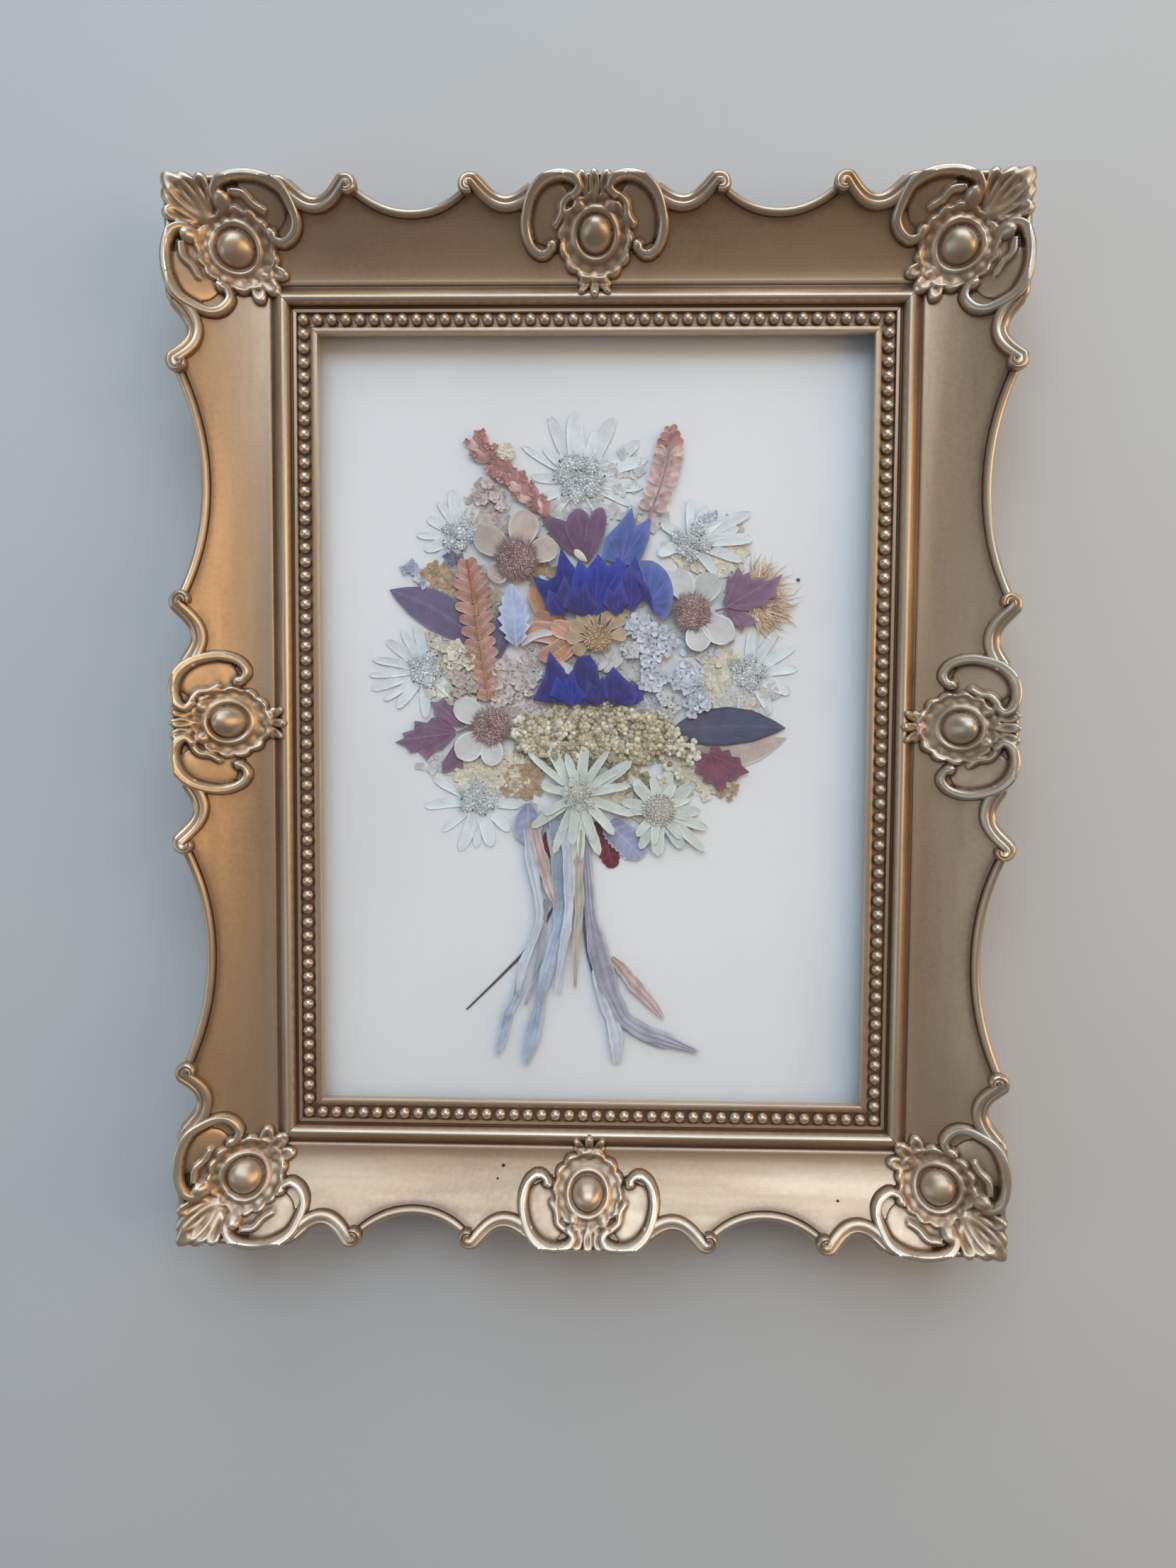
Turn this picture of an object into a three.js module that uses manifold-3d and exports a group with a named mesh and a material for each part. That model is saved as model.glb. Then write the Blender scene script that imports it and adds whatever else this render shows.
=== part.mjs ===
// Pressed flower bouquet in a gilt swept picture frame, lying face up.
// Millimetres. X runs across the picture, Y up the picture, Z out of its face.
// The origin is the middle of the frame's flat back.
import * as THREE from 'three';
import { mergeVertices } from 'three/addons/utils/BufferGeometryUtils.js';
import Module from 'manifold-3d';

const manifold = await Module();
manifold.setup();

// Picture opening (sight size) and moulding.
const sightWidth = 122;
const sightHeight = 171;
const mitreGap = 0.15;

// Heights above the flat back.
const lipFront = 12;
const lipBack = 10;
const glassThickness = 2;
const cardBottom = 4.4;
const cardThickness = 0.9;
const boardBottom = 2.4;

// Rebate behind the sight lip, and the sheets that lie in it (130 x 180 picture size).
const rebateStep = 4.75;
const sheetWidth = 130;
const sheetHeight = 180;

// Rim line of one half of a side, measured along the side from its middle.
const centreHalf = 8;
const fullReach = 30;
const cuspReach = 29.5;
const hollowReach = 26.1;
const sweepReach = 24.2;
const innerCusp = 24.8;
const hollowBottom = 18.8;

// Section of the cove, which rises ever steeper, and of the rim.
const coveStart = 11.6;
const coveFloor = 13.25;
const coveSlope = 0.36;
const coveCurve = 0.0118;
const coveSteps = 2;
const rimWidth = 2.6;
const rimRise = 1.1;
const backInset = 5;
const sideFoot = 3;
const sideTop = 2.2;

// Ornaments stand this far above the cove, and clear it by seatGap.
const ornamentLift = 1.5;
const seatGap = 0.3;
const bossRadius = 4.4;
const bossHeight = 3.4;

// Pressed specimens lie in thin layers between the card and the glass.
const layerStep = 0.5;
const layerThickness = 0.45;
const layerBase = cardBottom + cardThickness + 0.05;

const vec = (x, y, z) => new THREE.Vector3(x, y, z);

function paint(colour, roughness, metalness) {
  return new THREE.MeshStandardMaterial({ color: colour, roughness, metalness });
}

function named(name, geometry, material) {
  const mesh = new THREE.Mesh(geometry, material);
  mesh.name = name;
  return mesh;
}

// Solid and mesh conversions for joining and cutting.
function toSolid(geometry) {
  const bare = geometry.clone();
  bare.deleteAttribute('normal');
  bare.deleteAttribute('uv');
  const merged = mergeVertices(bare, 1e-4);
  return new manifold.Manifold(new manifold.Mesh({
    numProp: 3,
    vertProperties: new Float32Array(merged.attributes.position.array),
    triVerts: new Uint32Array(merged.index.array),
  }));
}

function fromSolid(solid) {
  const mesh = solid.getMesh();
  const geometry = new THREE.BufferGeometry();
  geometry.setAttribute('position', new THREE.BufferAttribute(mesh.vertProperties, 3));
  geometry.setIndex(new THREE.BufferAttribute(mesh.triVerts, 1));
  geometry.computeVertexNormals();
  return geometry;
}

function raised(geometry, lift) {
  return geometry.clone().translate(0, 0, lift);
}

// Rim line of one half side as a run of curves: x along the side, y outward.
// The side carries a centre ornament, a small hollow, a cusp, one wide sweep, a cusp,
// a small hollow and the corner ornament.
function rimCurve(halfSight) {
  const outerCusp = halfSight - 7.6;
  const cornerHollow = halfSight - 1.8;
  const cornerStart = halfSight + 6;
  const middle = (innerCusp + outerCusp) / 2;
  const pull = (outerCusp - innerCusp) * 0.3;
  const start = vec(0, fullReach, 0);
  const ornamentEdge = vec(centreHalf, fullReach, 0);
  const hollow = vec(hollowBottom, hollowReach, 0);
  const cusp = vec(innerCusp, cuspReach, 0);
  const sweep = vec(middle, sweepReach, 0);
  const farCusp = vec(outerCusp, cuspReach, 0);
  const farHollow = vec(cornerHollow, hollowReach, 0);
  const cornerEdge = vec(cornerStart, fullReach, 0);
  const end = vec(halfSight + fullReach, fullReach, 0);
  const path = new THREE.CurvePath();
  path.add(new THREE.LineCurve3(start, ornamentEdge));
  path.add(bend(ornamentEdge, hollow, 4.5, 3));
  path.add(bend(hollow, cusp, 2.8, 0.9));
  path.add(bend(cusp, sweep, 2.4, pull));
  path.add(bend(sweep, farCusp, pull, 2.4));
  path.add(bend(farCusp, farHollow, 0.9, 2.8));
  path.add(bend(farHollow, cornerEdge, 3, 3.2));
  path.add(new THREE.LineCurve3(cornerEdge, end));
  return path;
}

// A curve that leaves and arrives running along the side; leave and arrive set how round it is.
function bend(from, to, leave, arrive) {
  return new THREE.CubicBezierCurve3(
    from, vec(from.x + leave, from.y, from.z), vec(to.x - arrive, to.y, to.z), to);
}

// Stations along the whole side, mirrored about its middle, ending on the two mitres.
function rimStations(halfSight) {
  const half = [];
  for (const curve of rimCurve(halfSight).curves) {
    const straight = curve instanceof THREE.LineCurve3;
    const wide = curve.getLength() > 12;
    const points = curve.getPoints(straight ? 1 : wide ? 4 : 3);
    half.push(...(half.length ? points.slice(1) : points));
  }
  const mirrored = half.slice(1).reverse().map(p => vec(-p.x, p.y, p.z));
  return [...mirrored, ...half];
}

// Place a point of the section: stations near the ends lean over so that they end on the mitre.
function placeOnSide(station, out, height, halfSight) {
  const leanStart = halfSight - 3;
  const side = Math.sign(station.x);
  const along = Math.abs(station.x);
  const lean = Math.max(0, (along - leanStart) / (halfSight + fullReach - leanStart));
  const shifted = along - (station.y - out) * lean;
  return vec(side * (shifted - mitreGap * lean), out, height);
}

// Section points as [out, height]. The inner lines run straight from mitre to mitre.
const innerLines = [
  [rebateStep, 0], [rebateStep, lipBack], [0, lipBack], [0, lipFront], [1.6, lipFront],
  [1.9, 12.6], [2.4, 13.1], [3.1, 13.3], [3.8, 13.1], [4.3, 12.6], [4.6, lipFront],
  [5.8, lipFront], [6.3, 13.9], [7.0, 14.6], [7.8, 14.6], [8.5, 14.0], [9.7, 12.9],
  [coveStart, coveFloor],
];

// The cove is one section all round; the rim line cuts it lower in the sweeps.
function coveHeight(out) {
  const run = out - coveStart;
  return coveFloor + coveSlope * run + coveCurve * run ** 2;
}

// The outer lines follow the rim: cove, rounded rim, outer side and the edge of the back.
function outerLines(station) {
  const reach = station.y;
  const coveEnd = reach - rimWidth;
  const top = coveHeight(coveEnd) + rimRise;
  const lines = [];
  for (let i = 1; i <= coveSteps; i++) {
    const out = coveStart + (coveEnd - coveStart) * (i / coveSteps);
    lines.push([out, coveHeight(out)]);
  }
  lines.push([reach - 1.9, top - 0.2], [reach - 0.8, top], [reach, top - sideTop]);
  lines.push([reach - backInset, sideFoot], [reach - backInset, 0]);
  return lines;
}

// One rail in its own place: along X, out along Y, from mitre to mitre.
function railGeometry(halfSight) {
  const stations = rimStations(halfSight);
  const first = stations[0];
  const last = stations[stations.length - 1];
  const vertices = [];
  const faces = [];
  const add = point => vertices.push(point) - 1;
  const inner = innerLines.map(([out, height]) => [
    add(placeOnSide(first, out, height, halfSight)),
    add(placeOnSide(last, out, height, halfSight)),
  ]);
  const sections = stations.map(s => outerLines(s));
  const outer = sections[0].map((_, k) => stations.map((station, j) =>
    add(placeOnSide(station, sections[j][k][0], sections[j][k][1], halfSight))));

  for (let i = 0; i + 1 < inner.length; i++) {
    addStrip(faces, inner[i], inner[i + 1]);
  }
  for (let k = 0; k + 1 < outer.length; k++) {
    addStrip(faces, outer[k], outer[k + 1]);
  }
  addFan(faces, inner[inner.length - 1], outer[0], vertices);
  addBack(faces, outer[outer.length - 1], inner[0], vertices);
  addEnd(faces, inner, outer, 0, vertices);
  addEnd(faces, inner, outer, 1, vertices);
  return bodyFrom(vertices, faces);
}

// Quads between two lines with the same number of points.
function addStrip(faces, low, high) {
  for (let j = 0; j + 1 < low.length; j++) {
    faces.push([low[j], low[j + 1], high[j + 1]], [low[j], high[j + 1], high[j]]);
  }
}

// The first strip of the cove, from a straight line to the line that follows the rim.
function addFan(faces, straight, curved, vertices) {
  const half = (curved.length - 1) / 2;
  for (let j = 0; j < half; j++) {
    faces.push([straight[0], curved[j + 1], curved[j]]);
  }
  faces.push([straight[0], straight[1], curved[half]]);
  for (let j = half; j + 1 < curved.length; j++) {
    faces.push([straight[1], curved[j + 1], curved[j]]);
  }
}

// The flat back between the outer edge and the rebate.
function addBack(faces, curved, straight, vertices) {
  const loop = [...curved, straight[1], straight[0]];
  addCap(faces, loop, loop.map(i => new THREE.Vector2(vertices[i].x, vertices[i].y)));
}

// The flat mitre face at one end.
function addEnd(faces, inner, outer, end, vertices) {
  const loop = [
    ...inner.map(line => line[end]),
    ...outer.map(line => line[end * (line.length - 1)]),
  ];
  if (end) {
    loop.reverse();
  }
  addCap(faces, loop, loop.map(i => new THREE.Vector2(vertices[i].y, vertices[i].z)));
}

// A flat face inside a loop, its triangles running the same way round as the loop.
function addCap(faces, loop, outline) {
  const turns = THREE.ShapeUtils.area(outline) > 0;
  for (const corner of THREE.ShapeUtils.triangulateShape(outline, [])) {
    const same = THREE.ShapeUtils.area(corner.map(i => outline[i])) > 0 === turns;
    const [a, b, c] = same ? corner : corner.slice().reverse();
    faces.push([loop[a], loop[b], loop[c]]);
  }
}

// A closed body from shared vertices, turned so that its faces point outward.
function bodyFrom(vertices, faces) {
  let volume = 0;
  for (const [a, b, c] of faces) {
    const cross = new THREE.Vector3().crossVectors(vertices[b], vertices[c]);
    volume += vertices[a].dot(cross) / 6;
  }
  const outward = volume > 0 ? faces : faces.map(([a, b, c]) => [a, c, b]);
  const geometry = new THREE.BufferGeometry();
  geometry.setFromPoints(vertices);
  geometry.setIndex(outward.flat());
  geometry.computeVertexNormals();
  return geometry;
}

// Sides of the frame: quarter turns about Z and the distance from the middle to the sight edge.
const sides = {
  top: { turn: 0, halfAlong: sightWidth / 2, halfAcross: sightHeight / 2 },
  left: { turn: Math.PI / 2, halfAlong: sightHeight / 2, halfAcross: sightWidth / 2 },
  bottom: { turn: Math.PI, halfAlong: sightWidth / 2, halfAcross: sightHeight / 2 },
  right: { turn: -Math.PI / 2, halfAlong: sightHeight / 2, halfAcross: sightWidth / 2 },
};

function placedOn(geometry, side) {
  return geometry.clone().translate(0, side.halfAcross, 0).rotateZ(side.turn);
}

const railShapes = {};
for (const [name, side] of Object.entries(sides)) {
  railShapes[name] = placedOn(railGeometry(side.halfAlong), side);
}

function prism(shape, bottom, height) {
  const flat = new THREE.ExtrudeGeometry(shape, { depth: height, bevelEnabled: false });
  return flat.translate(0, 0, bottom);
}

function boss(x, y, bottom) {
  const profile = [
    new THREE.Vector2(0, 0), new THREE.Vector2(bossRadius + 1, 0),
    new THREE.Vector2(bossRadius, 1.1), new THREE.Vector2(bossRadius * 0.7, bossHeight * 0.8),
    new THREE.Vector2(0, bossHeight),
  ];
  return new THREE.LatheGeometry(profile, 8).rotateX(Math.PI / 2).translate(x, y, bottom);
}

// An ornament follows the cove: its outline, between two copies of the rails lifted by
// different amounts, with a domed boss on it.
function ornament(shape, bossX, bossY, bossBottom, railNames) {
  const outline = toSolid(prism(shape, coveFloor - 1, 16));
  const lifted = lift => railNames
    .map(name => toSolid(raised(railShapes[name], lift)))
    .reduce((joined, rail) => joined.add(rail));
  const cover = lifted(ornamentLift).intersect(outline);
  const domed = cover.add(toSolid(boss(bossX, bossY, bossBottom)));
  return fromSolid(largestPiece(domed.subtract(lifted(seatGap))));
}

function largestPiece(solid) {
  const pieces = solid.decompose();
  return pieces.reduce((best, piece) => (piece.volume() > best.volume() ? piece : best));
}

// Centre ornament, standing on the top side: two scroll ears, a fluted skirt and a small
// palmette that points at the picture. Heights are measured out from the sight edge.
function centreShape(baseY) {
  const shape = new THREE.Shape();
  const at = (x, out) => [x, baseY + out];
  shape.moveTo(...at(-15.2, 29.8));
  shape.quadraticCurveTo(...at(-17, 22), ...at(-14.4, 16.4));
  shape.quadraticCurveTo(...at(-12, 14.6), ...at(-8.6, 15.4));
  shape.quadraticCurveTo(...at(-6, 11.6), ...at(-1.6, 10.2));
  shape.lineTo(...at(-3.4, 8));
  shape.quadraticCurveTo(...at(-2.4, 6.9), ...at(0, 6.7));
  shape.quadraticCurveTo(...at(2.4, 6.9), ...at(3.4, 8));
  shape.lineTo(...at(1.6, 10.2));
  shape.quadraticCurveTo(...at(6, 11.6), ...at(8.6, 15.4));
  shape.quadraticCurveTo(...at(12, 14.6), ...at(14.4, 16.4));
  shape.quadraticCurveTo(...at(17, 22), ...at(15.2, 29.8));
  return shape;
}

// Corner ornament in the square outside the sight corner (x and y both outward from it).
function cornerShape(cornerX, cornerY) {
  const shape = new THREE.Shape();
  const at = (x, y) => [cornerX + x, cornerY + y];
  shape.moveTo(...at(29.8, 29.8));
  shape.lineTo(...at(2.2, 29.8));
  shape.quadraticCurveTo(...at(-1.6, 24), ...at(1.2, 18.4));
  shape.quadraticCurveTo(...at(4.6, 16.2), ...at(8, 18));
  shape.quadraticCurveTo(...at(7.4, 13.6), ...at(9.6, 11.6));
  shape.lineTo(...at(9, 9));
  shape.lineTo(...at(11.6, 9.6));
  shape.quadraticCurveTo(...at(13.6, 7.4), ...at(18, 8));
  shape.quadraticCurveTo(...at(16.2, 4.6), ...at(18.4, 1.2));
  shape.quadraticCurveTo(...at(24, -1.6), ...at(29.8, 2.2));
  return shape;
}

// Outlines of pressed flowers and leaves.
const polar = (x, y, radius, angle) =>
  new THREE.Vector2(x + radius * Math.cos(angle), y + radius * Math.sin(angle));

function star(x, y, reach, core, petals, turn) {
  const step = (2 * Math.PI) / petals;
  const points = [];
  for (let i = 0; i < petals; i++) {
    const angle = turn + i * step;
    points.push(polar(x, y, core, angle - step / 2), polar(x, y, reach * 0.6, angle - step * 0.24));
    points.push(polar(x, y, reach, angle), polar(x, y, reach * 0.6, angle + step * 0.24));
  }
  return new THREE.Shape(points);
}

function rosette(x, y, reach, petals, turn) {
  const count = petals * 4;
  const points = [];
  for (let i = 0; i < count; i++) {
    const angle = turn + (i / count) * 2 * Math.PI;
    const swell = Math.sqrt(Math.abs(Math.cos(((angle - turn) * petals) / 2)));
    points.push(polar(x, y, reach * (0.6 + 0.4 * swell), angle));
  }
  return new THREE.Shape(points);
}

function tuft(x, y, halfWidth, halfHeight, turn) {
  const points = [];
  for (let i = 0; i < 14; i++) {
    const angle = (i / 14) * 2 * Math.PI;
    const bump = 1 + 0.07 * Math.cos(angle * 6 + turn);
    points.push(new THREE.Vector2(
      x + halfWidth * bump * Math.cos(angle), y + halfHeight * bump * Math.sin(angle)));
  }
  return new THREE.Shape(points);
}

function leaf(fromX, fromY, toX, toY, width) {
  const from = new THREE.Vector2(fromX, fromY);
  const run = new THREE.Vector2(toX, toY).sub(from);
  const across = new THREE.Vector2(-run.y, run.x).normalize().multiplyScalar(width / 2);
  const edge = (share, side) => from.clone().addScaledVector(run, share)
    .addScaledVector(across, side * Math.sin(Math.PI * share) ** 0.7);
  const shares = [0.12, 0.3, 0.5, 0.7, 0.88];
  return new THREE.Shape([
    edge(0, 0), ...shares.map(s => edge(s, 1)), edge(1, 0),
    ...shares.slice().reverse().map(s => edge(s, -1)),
  ]);
}

// A leaf with pointed lobes that spread from its stalk.
function lobedLeaf(x, y, reach, turn, lobes, spread) {
  const points = [polar(x, y, reach * 0.18, turn + Math.PI)];
  for (let i = 0; i < lobes; i++) {
    const angle = turn + spread * (i / (lobes - 1) - 0.5);
    const gap = spread / (lobes - 1) / 2;
    const middle = 1 - 0.25 * Math.abs(i / (lobes - 1) - 0.5) * 2;
    points.push(polar(x, y, reach * 0.62, angle - gap * 0.5), polar(x, y, reach * middle, angle));
    points.push(polar(x, y, reach * 0.62, angle + gap * 0.5));
    if (i + 1 < lobes) {
      points.push(polar(x, y, reach * 0.4, angle + gap));
    }
  }
  return new THREE.Shape(points);
}

// A stem as a ribbon of even width along a smooth line.
function ribbon(width, ...places) {
  const line = new THREE.SplineCurve(places.map(([x, y]) => new THREE.Vector2(x, y)));
  const steps = places.length * 2;
  const left = [];
  const right = [];
  for (let i = 0; i <= steps; i++) {
    const point = line.getPoint(i / steps);
    const along = line.getTangent(i / steps);
    const across = new THREE.Vector2(-along.y, along.x).multiplyScalar(width / 2);
    left.push(point.clone().add(across));
    right.unshift(point.clone().sub(across));
  }
  return new THREE.Shape([...left, ...right]);
}

function layered(layer, ...shapes) {
  const bottom = layerBase + layer * layerStep;
  const [first, ...rest] = shapes.map(shape => prism(shape, bottom, layerThickness));
  if (rest.length === 0) {
    return first;
  }
  const joined = rest.reduce((solid, part) => solid.add(toSolid(part)), toSolid(first));
  return fromSolid(joined);
}

// The parts.
const gilt = () => paint(0xb08d5a, 0.42, 0.75);
const frame = new THREE.Group();

for (const [name, shape] of Object.entries(railShapes)) {
  frame.add(named(`rail_${name}`, shape, gilt()));
}

function addCentreOrnament(name) {
  const side = sides[name];
  const bossOut = 18.8;
  const shape = centreShape(side.halfAcross);
  const turned = new THREE.Shape(shape.getPoints(2)
    .map(p => p.rotateAround(new THREE.Vector2(), side.turn)));
  const place = new THREE.Vector2(0, side.halfAcross + bossOut)
    .rotateAround(new THREE.Vector2(), side.turn);
  const geometry = ornament(turned, place.x, place.y, 17.6, [name]);
  frame.add(named(`ornament_${name}`, geometry, gilt()));
}

function addCornerOrnament(name, signX, signY, railNames) {
  const bossOut = 16.4;
  const shape = cornerShape(sightWidth / 2, sightHeight / 2);
  const placed = new THREE.Shape(shape.getPoints(2)
    .map(p => new THREE.Vector2(p.x * signX, p.y * signY)));
  const x = signX * (sightWidth / 2 + bossOut);
  const y = signY * (sightHeight / 2 + bossOut);
  frame.add(named(`corner_${name}`, ornament(placed, x, y, 17, railNames), gilt()));
}

Object.keys(sides).forEach(addCentreOrnament);
addCornerOrnament('top_left', -1, 1, ['top', 'left']);
addCornerOrnament('top_right', 1, 1, ['top', 'right']);
addCornerOrnament('bottom_left', -1, -1, ['bottom', 'left']);
addCornerOrnament('bottom_right', 1, -1, ['bottom', 'right']);

// Glass, card and backing board, cut to the same sheet size.
function sheet(bottom, thickness) {
  return new THREE.BoxGeometry(sheetWidth, sheetHeight, thickness)
    .translate(0, 0, bottom + thickness / 2);
}

const boardThickness = cardBottom - boardBottom;
frame.add(named('glass', sheet(lipBack - glassThickness, glassThickness), paint(0xf4f8f8, 0.05, 0)));
frame.add(named('card', sheet(cardBottom, cardThickness), paint(0xdcdcda, 0.9, 0)));
frame.add(named('backing_board', sheet(boardBottom, boardThickness), paint(0x8a6a4a, 0.85, 0)));

// Bent steel tabs: one leg against the rebate wall, the other flat on the board.
function retainingTab(name, x, y, turn) {
  const legX = 0.6;
  const footLength = 9;
  const tabWidth = 8;
  const bottom = 0.3;
  const section = new THREE.Shape([
    new THREE.Vector2(0, bottom), new THREE.Vector2(legX, bottom),
    new THREE.Vector2(legX, boardBottom - 0.6), new THREE.Vector2(footLength, boardBottom - 0.6),
    new THREE.Vector2(footLength, boardBottom), new THREE.Vector2(0, boardBottom),
  ]);
  const geometry = new THREE.ExtrudeGeometry(section, { depth: tabWidth, bevelEnabled: false })
    .translate(0, 0, -tabWidth / 2).rotateX(Math.PI / 2).rotateZ(turn).translate(x, y, 0);
  frame.add(named(name, geometry, paint(0x9a9a96, 0.35, 0.9)));
}

const wallX = sightWidth / 2 + rebateStep - 0.1;
const wallY = sightHeight / 2 + rebateStep - 0.1;
retainingTab('tab_left', -wallX, 10, 0);
retainingTab('tab_right', wallX, 10, Math.PI);
retainingTab('tab_top', 30, wallY, -Math.PI / 2);
retainingTab('tab_bottom', -30, -wallY, Math.PI / 2);

// Saw-tooth hanger on the board, inside the recess.
function hangerShape() {
  const halfLength = 22;
  const halfWidth = 4;
  const teeth = 7;
  const toothed = 26;
  const points = [[-halfLength, halfWidth], [-halfLength, -halfWidth], [-toothed / 2, -halfWidth]];
  for (let i = 0; i < teeth; i++) {
    const x = -toothed / 2 + (toothed * (i + 0.5)) / teeth;
    points.push([x, -halfWidth + 1.6], [x + toothed / teeth / 2, -halfWidth]);
  }
  points.push([halfLength, -halfWidth], [halfLength, halfWidth]);
  return new THREE.Shape(points.map(([x, y]) => new THREE.Vector2(x, y)));
}

const hanger = prism(hangerShape(), boardBottom - 1, 1).translate(0, 74, 0);
frame.add(named('hanger', hanger, paint(0xa99558, 0.35, 0.9)));

// The pressed bouquet: name, layer above the card, colour, outlines.
function specimen(name, layer, colour, ...shapes) {
  frame.add(named(name, layered(layer, ...shapes), paint(colour, 0.85, 0)));
}

specimen('edelweiss_top', 0, 0xc8ccc8, star(-3, 54, 15, 6, 8, 1.57));
specimen('edelweiss_upper_left', 0, 0xc6c8c0, star(-31, 43, 10.5, 5, 8, 0.5));
specimen('edelweiss_left', 0, 0xc8c8be, star(-38.5, 11.5, 13.5, 5.5, 8, 0.3));
specimen('edelweiss_bottom_left', 0, 0xcccfc6, star(-26.5, -17.5, 13.2, 5.5, 8, 0.1));
specimen('edelweiss_upper_right', 1, 0xcacbc0, star(24, 42.5, 12.5, 5.5, 8, 0.4));
specimen('edelweiss_right', 1, 0xc8c9ba, star(36.6, 13.4, 10.4, 5, 8, 0.39));
specimen('tan_fibres_right', 0, 0xc29c6a, tuft(37, 27.5, 10, 11.5, 0.6));
specimen('heather_sprig', 2, 0xb97065, ribbon(4.6, [-26.2, 63.4], [-21, 57], [-15.5, 51], [-10, 45.6]));
specimen('fern_sprig_right', 2, 0xc08a78, ribbon(5, [17.4, 65.8], [15.6, 56], [11.4, 46]));
specimen('beige_flower', 3, 0xbda593, rosette(-17.4, 36.8, 9.2, 5, 0.75));
specimen('purple_petals', 2, 0x6a4a62, lobedLeaf(-2, 36.8, 10.4, 1.85, 3, 1.9));
specimen('blue_floret', 3, 0x565aa6, lobedLeaf(4.6, 35.4, 12.2, 1.15, 3, 1.3));
specimen('cornflower_upper', 4, 0x34308a, lobedLeaf(1.6, 21.6, 16.2, 1.5, 5, 2.3));
specimen('plum_leaf', 1, 0x5e5068, leaf(-46.6, 29, -26.4, 19.4, 8.6));
specimen('salmon_frond', 2, 0xb88468, leaf(-29, 36.6, -23.8, 5.6, 8.2));
specimen('silver_leaf', 4, 0xa9adc6, leaf(-18.8, 31.8, -15.2, 16.8, 6));
specimen('orange_petals', 2, 0xae7448, tuft(-12, 21, 5.6, 6.6, 0));
specimen('tan_daisy', 3, 0xa9875c, rosette(0.6, 20.4, 7, 9, 0.2));
specimen('cornflower_lower', 4, 0x3c3286, lobedLeaf(-1, 1.6, 13.2, 1.57, 3, 1.7));
specimen('grey_florets_upper', 2, 0xb9b9bf, tuft(12.4, 19.8, 6.4, 5.2, 0.4));
specimen('grey_florets_lower', 2, 0xb5b8bf, tuft(20, 9.4, 6.6, 5.8, 0));
specimen('white_flower_right', 3, 0xcdc8bd, rosette(22.4, 25.8, 8.8, 5, 0.3));
specimen('maroon_leaf_right', 2, 0x7a5062, lobedLeaf(31.4, 26.6, 13, 0.25, 5, 2.6));
specimen('beige_florets', 1, 0xc2ae90, tuft(-31, 12.4, 5.6, 5, 0));
specimen('pink_florets', 1, 0xbfb0a8, tuft(-18.6, 10, 4.6, 5.4, 0));
specimen('maroon_leaf_left', 1, 0x73435a, lobedLeaf(-31.6, -1.8, 13.6, 3.25, 5, 2.6));
specimen('white_flower_left', 2, 0xd6d4cc, rosette(-23, -1.2, 8.4, 5, 0.9));
specimen('cream_umbel', 3, 0xb9a579, tuft(1.4, -3.6, 18, 8, 0));
specimen('slate_leaf', 1, 0x46485a, leaf(18.4, -1.2, 43, -0.4, 8.6));
specimen('maroon_leaf_lower', 2, 0x74404c, lobedLeaf(25, -5, 10.6, -0.66, 3, 2));
specimen('edelweiss_front', 4, 0xd0d6c8, star(-3, -16.4, 13.6, 5.4, 9, 0.2));
specimen('button_flower', 2, 0xccc9b8, star(15.8, -19, 11.4, 5, 8, 0.15));
specimen('lavender_leaf', 2, 0x9494b0, leaf(-16.4, -18.4, -10.6, -28.4, 6.2));
specimen('serrated_leaf', 1, 0x8d90ae, leaf(5.2, -21.2, 13.6, -31.2, 6.4));
specimen('red_leaf', 0, 0x782e38, leaf(2.4, -22, 4.6, -32.4, 4.8));
specimen('stem_salmon', 1, 0xc3a097, ribbon(2.2, [-11.2, -20], [-9, -33], [-6.8, -45.4]));
specimen('stem_left', 2, 0x9ea3b4,
  ribbon(2.4, [-5.4, -20], [-6, -38], [-9.6, -60], [-15.4, -80.4]),
  ribbon(1.8, [-8.8, -56], [-14.8, -67], [-21.4, -77.6]));
specimen('stem_thin', 0, 0x55464a, ribbon(1, [-7.4, -41], [-15, -53.6], [-28.6, -67]));
specimen('stem_centre', 3, 0xb9b2b4, ribbon(1.8, [-1.8, -20], [-2.6, -40], [-2.4, -60.4]));
specimen('stem_right', 1, 0xaea8b2,
  ribbon(2.6, [0.8, -20], [2.6, -49], [9, -67.4], [25, -75.6]),
  ribbon(1.6, [6.2, -62], [9, -71], [7.8, -77.4]));

export default frame;
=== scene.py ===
import math

import bmesh
import bpy
import numpy as np
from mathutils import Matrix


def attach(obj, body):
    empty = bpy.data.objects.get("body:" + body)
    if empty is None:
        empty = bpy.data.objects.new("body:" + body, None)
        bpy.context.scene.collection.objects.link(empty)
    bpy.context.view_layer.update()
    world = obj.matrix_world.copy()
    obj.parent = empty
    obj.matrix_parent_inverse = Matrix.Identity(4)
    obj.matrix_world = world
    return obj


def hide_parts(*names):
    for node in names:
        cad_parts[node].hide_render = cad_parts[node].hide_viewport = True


# Pressed flower bouquet behind glass in a gilt swept frame, lying on its back.
# Shapes are worked out in millimetres and turned into metres when a piece is made.
mm = 0.001

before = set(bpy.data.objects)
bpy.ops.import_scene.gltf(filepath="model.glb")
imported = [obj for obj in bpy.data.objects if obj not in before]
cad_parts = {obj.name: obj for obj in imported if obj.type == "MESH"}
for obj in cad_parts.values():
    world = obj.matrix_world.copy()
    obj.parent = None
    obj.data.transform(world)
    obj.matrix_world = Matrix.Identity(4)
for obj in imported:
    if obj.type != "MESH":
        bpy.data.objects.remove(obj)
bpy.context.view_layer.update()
scene = bpy.context.scene
print("frame loaded:", len(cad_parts), "parts")


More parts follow.
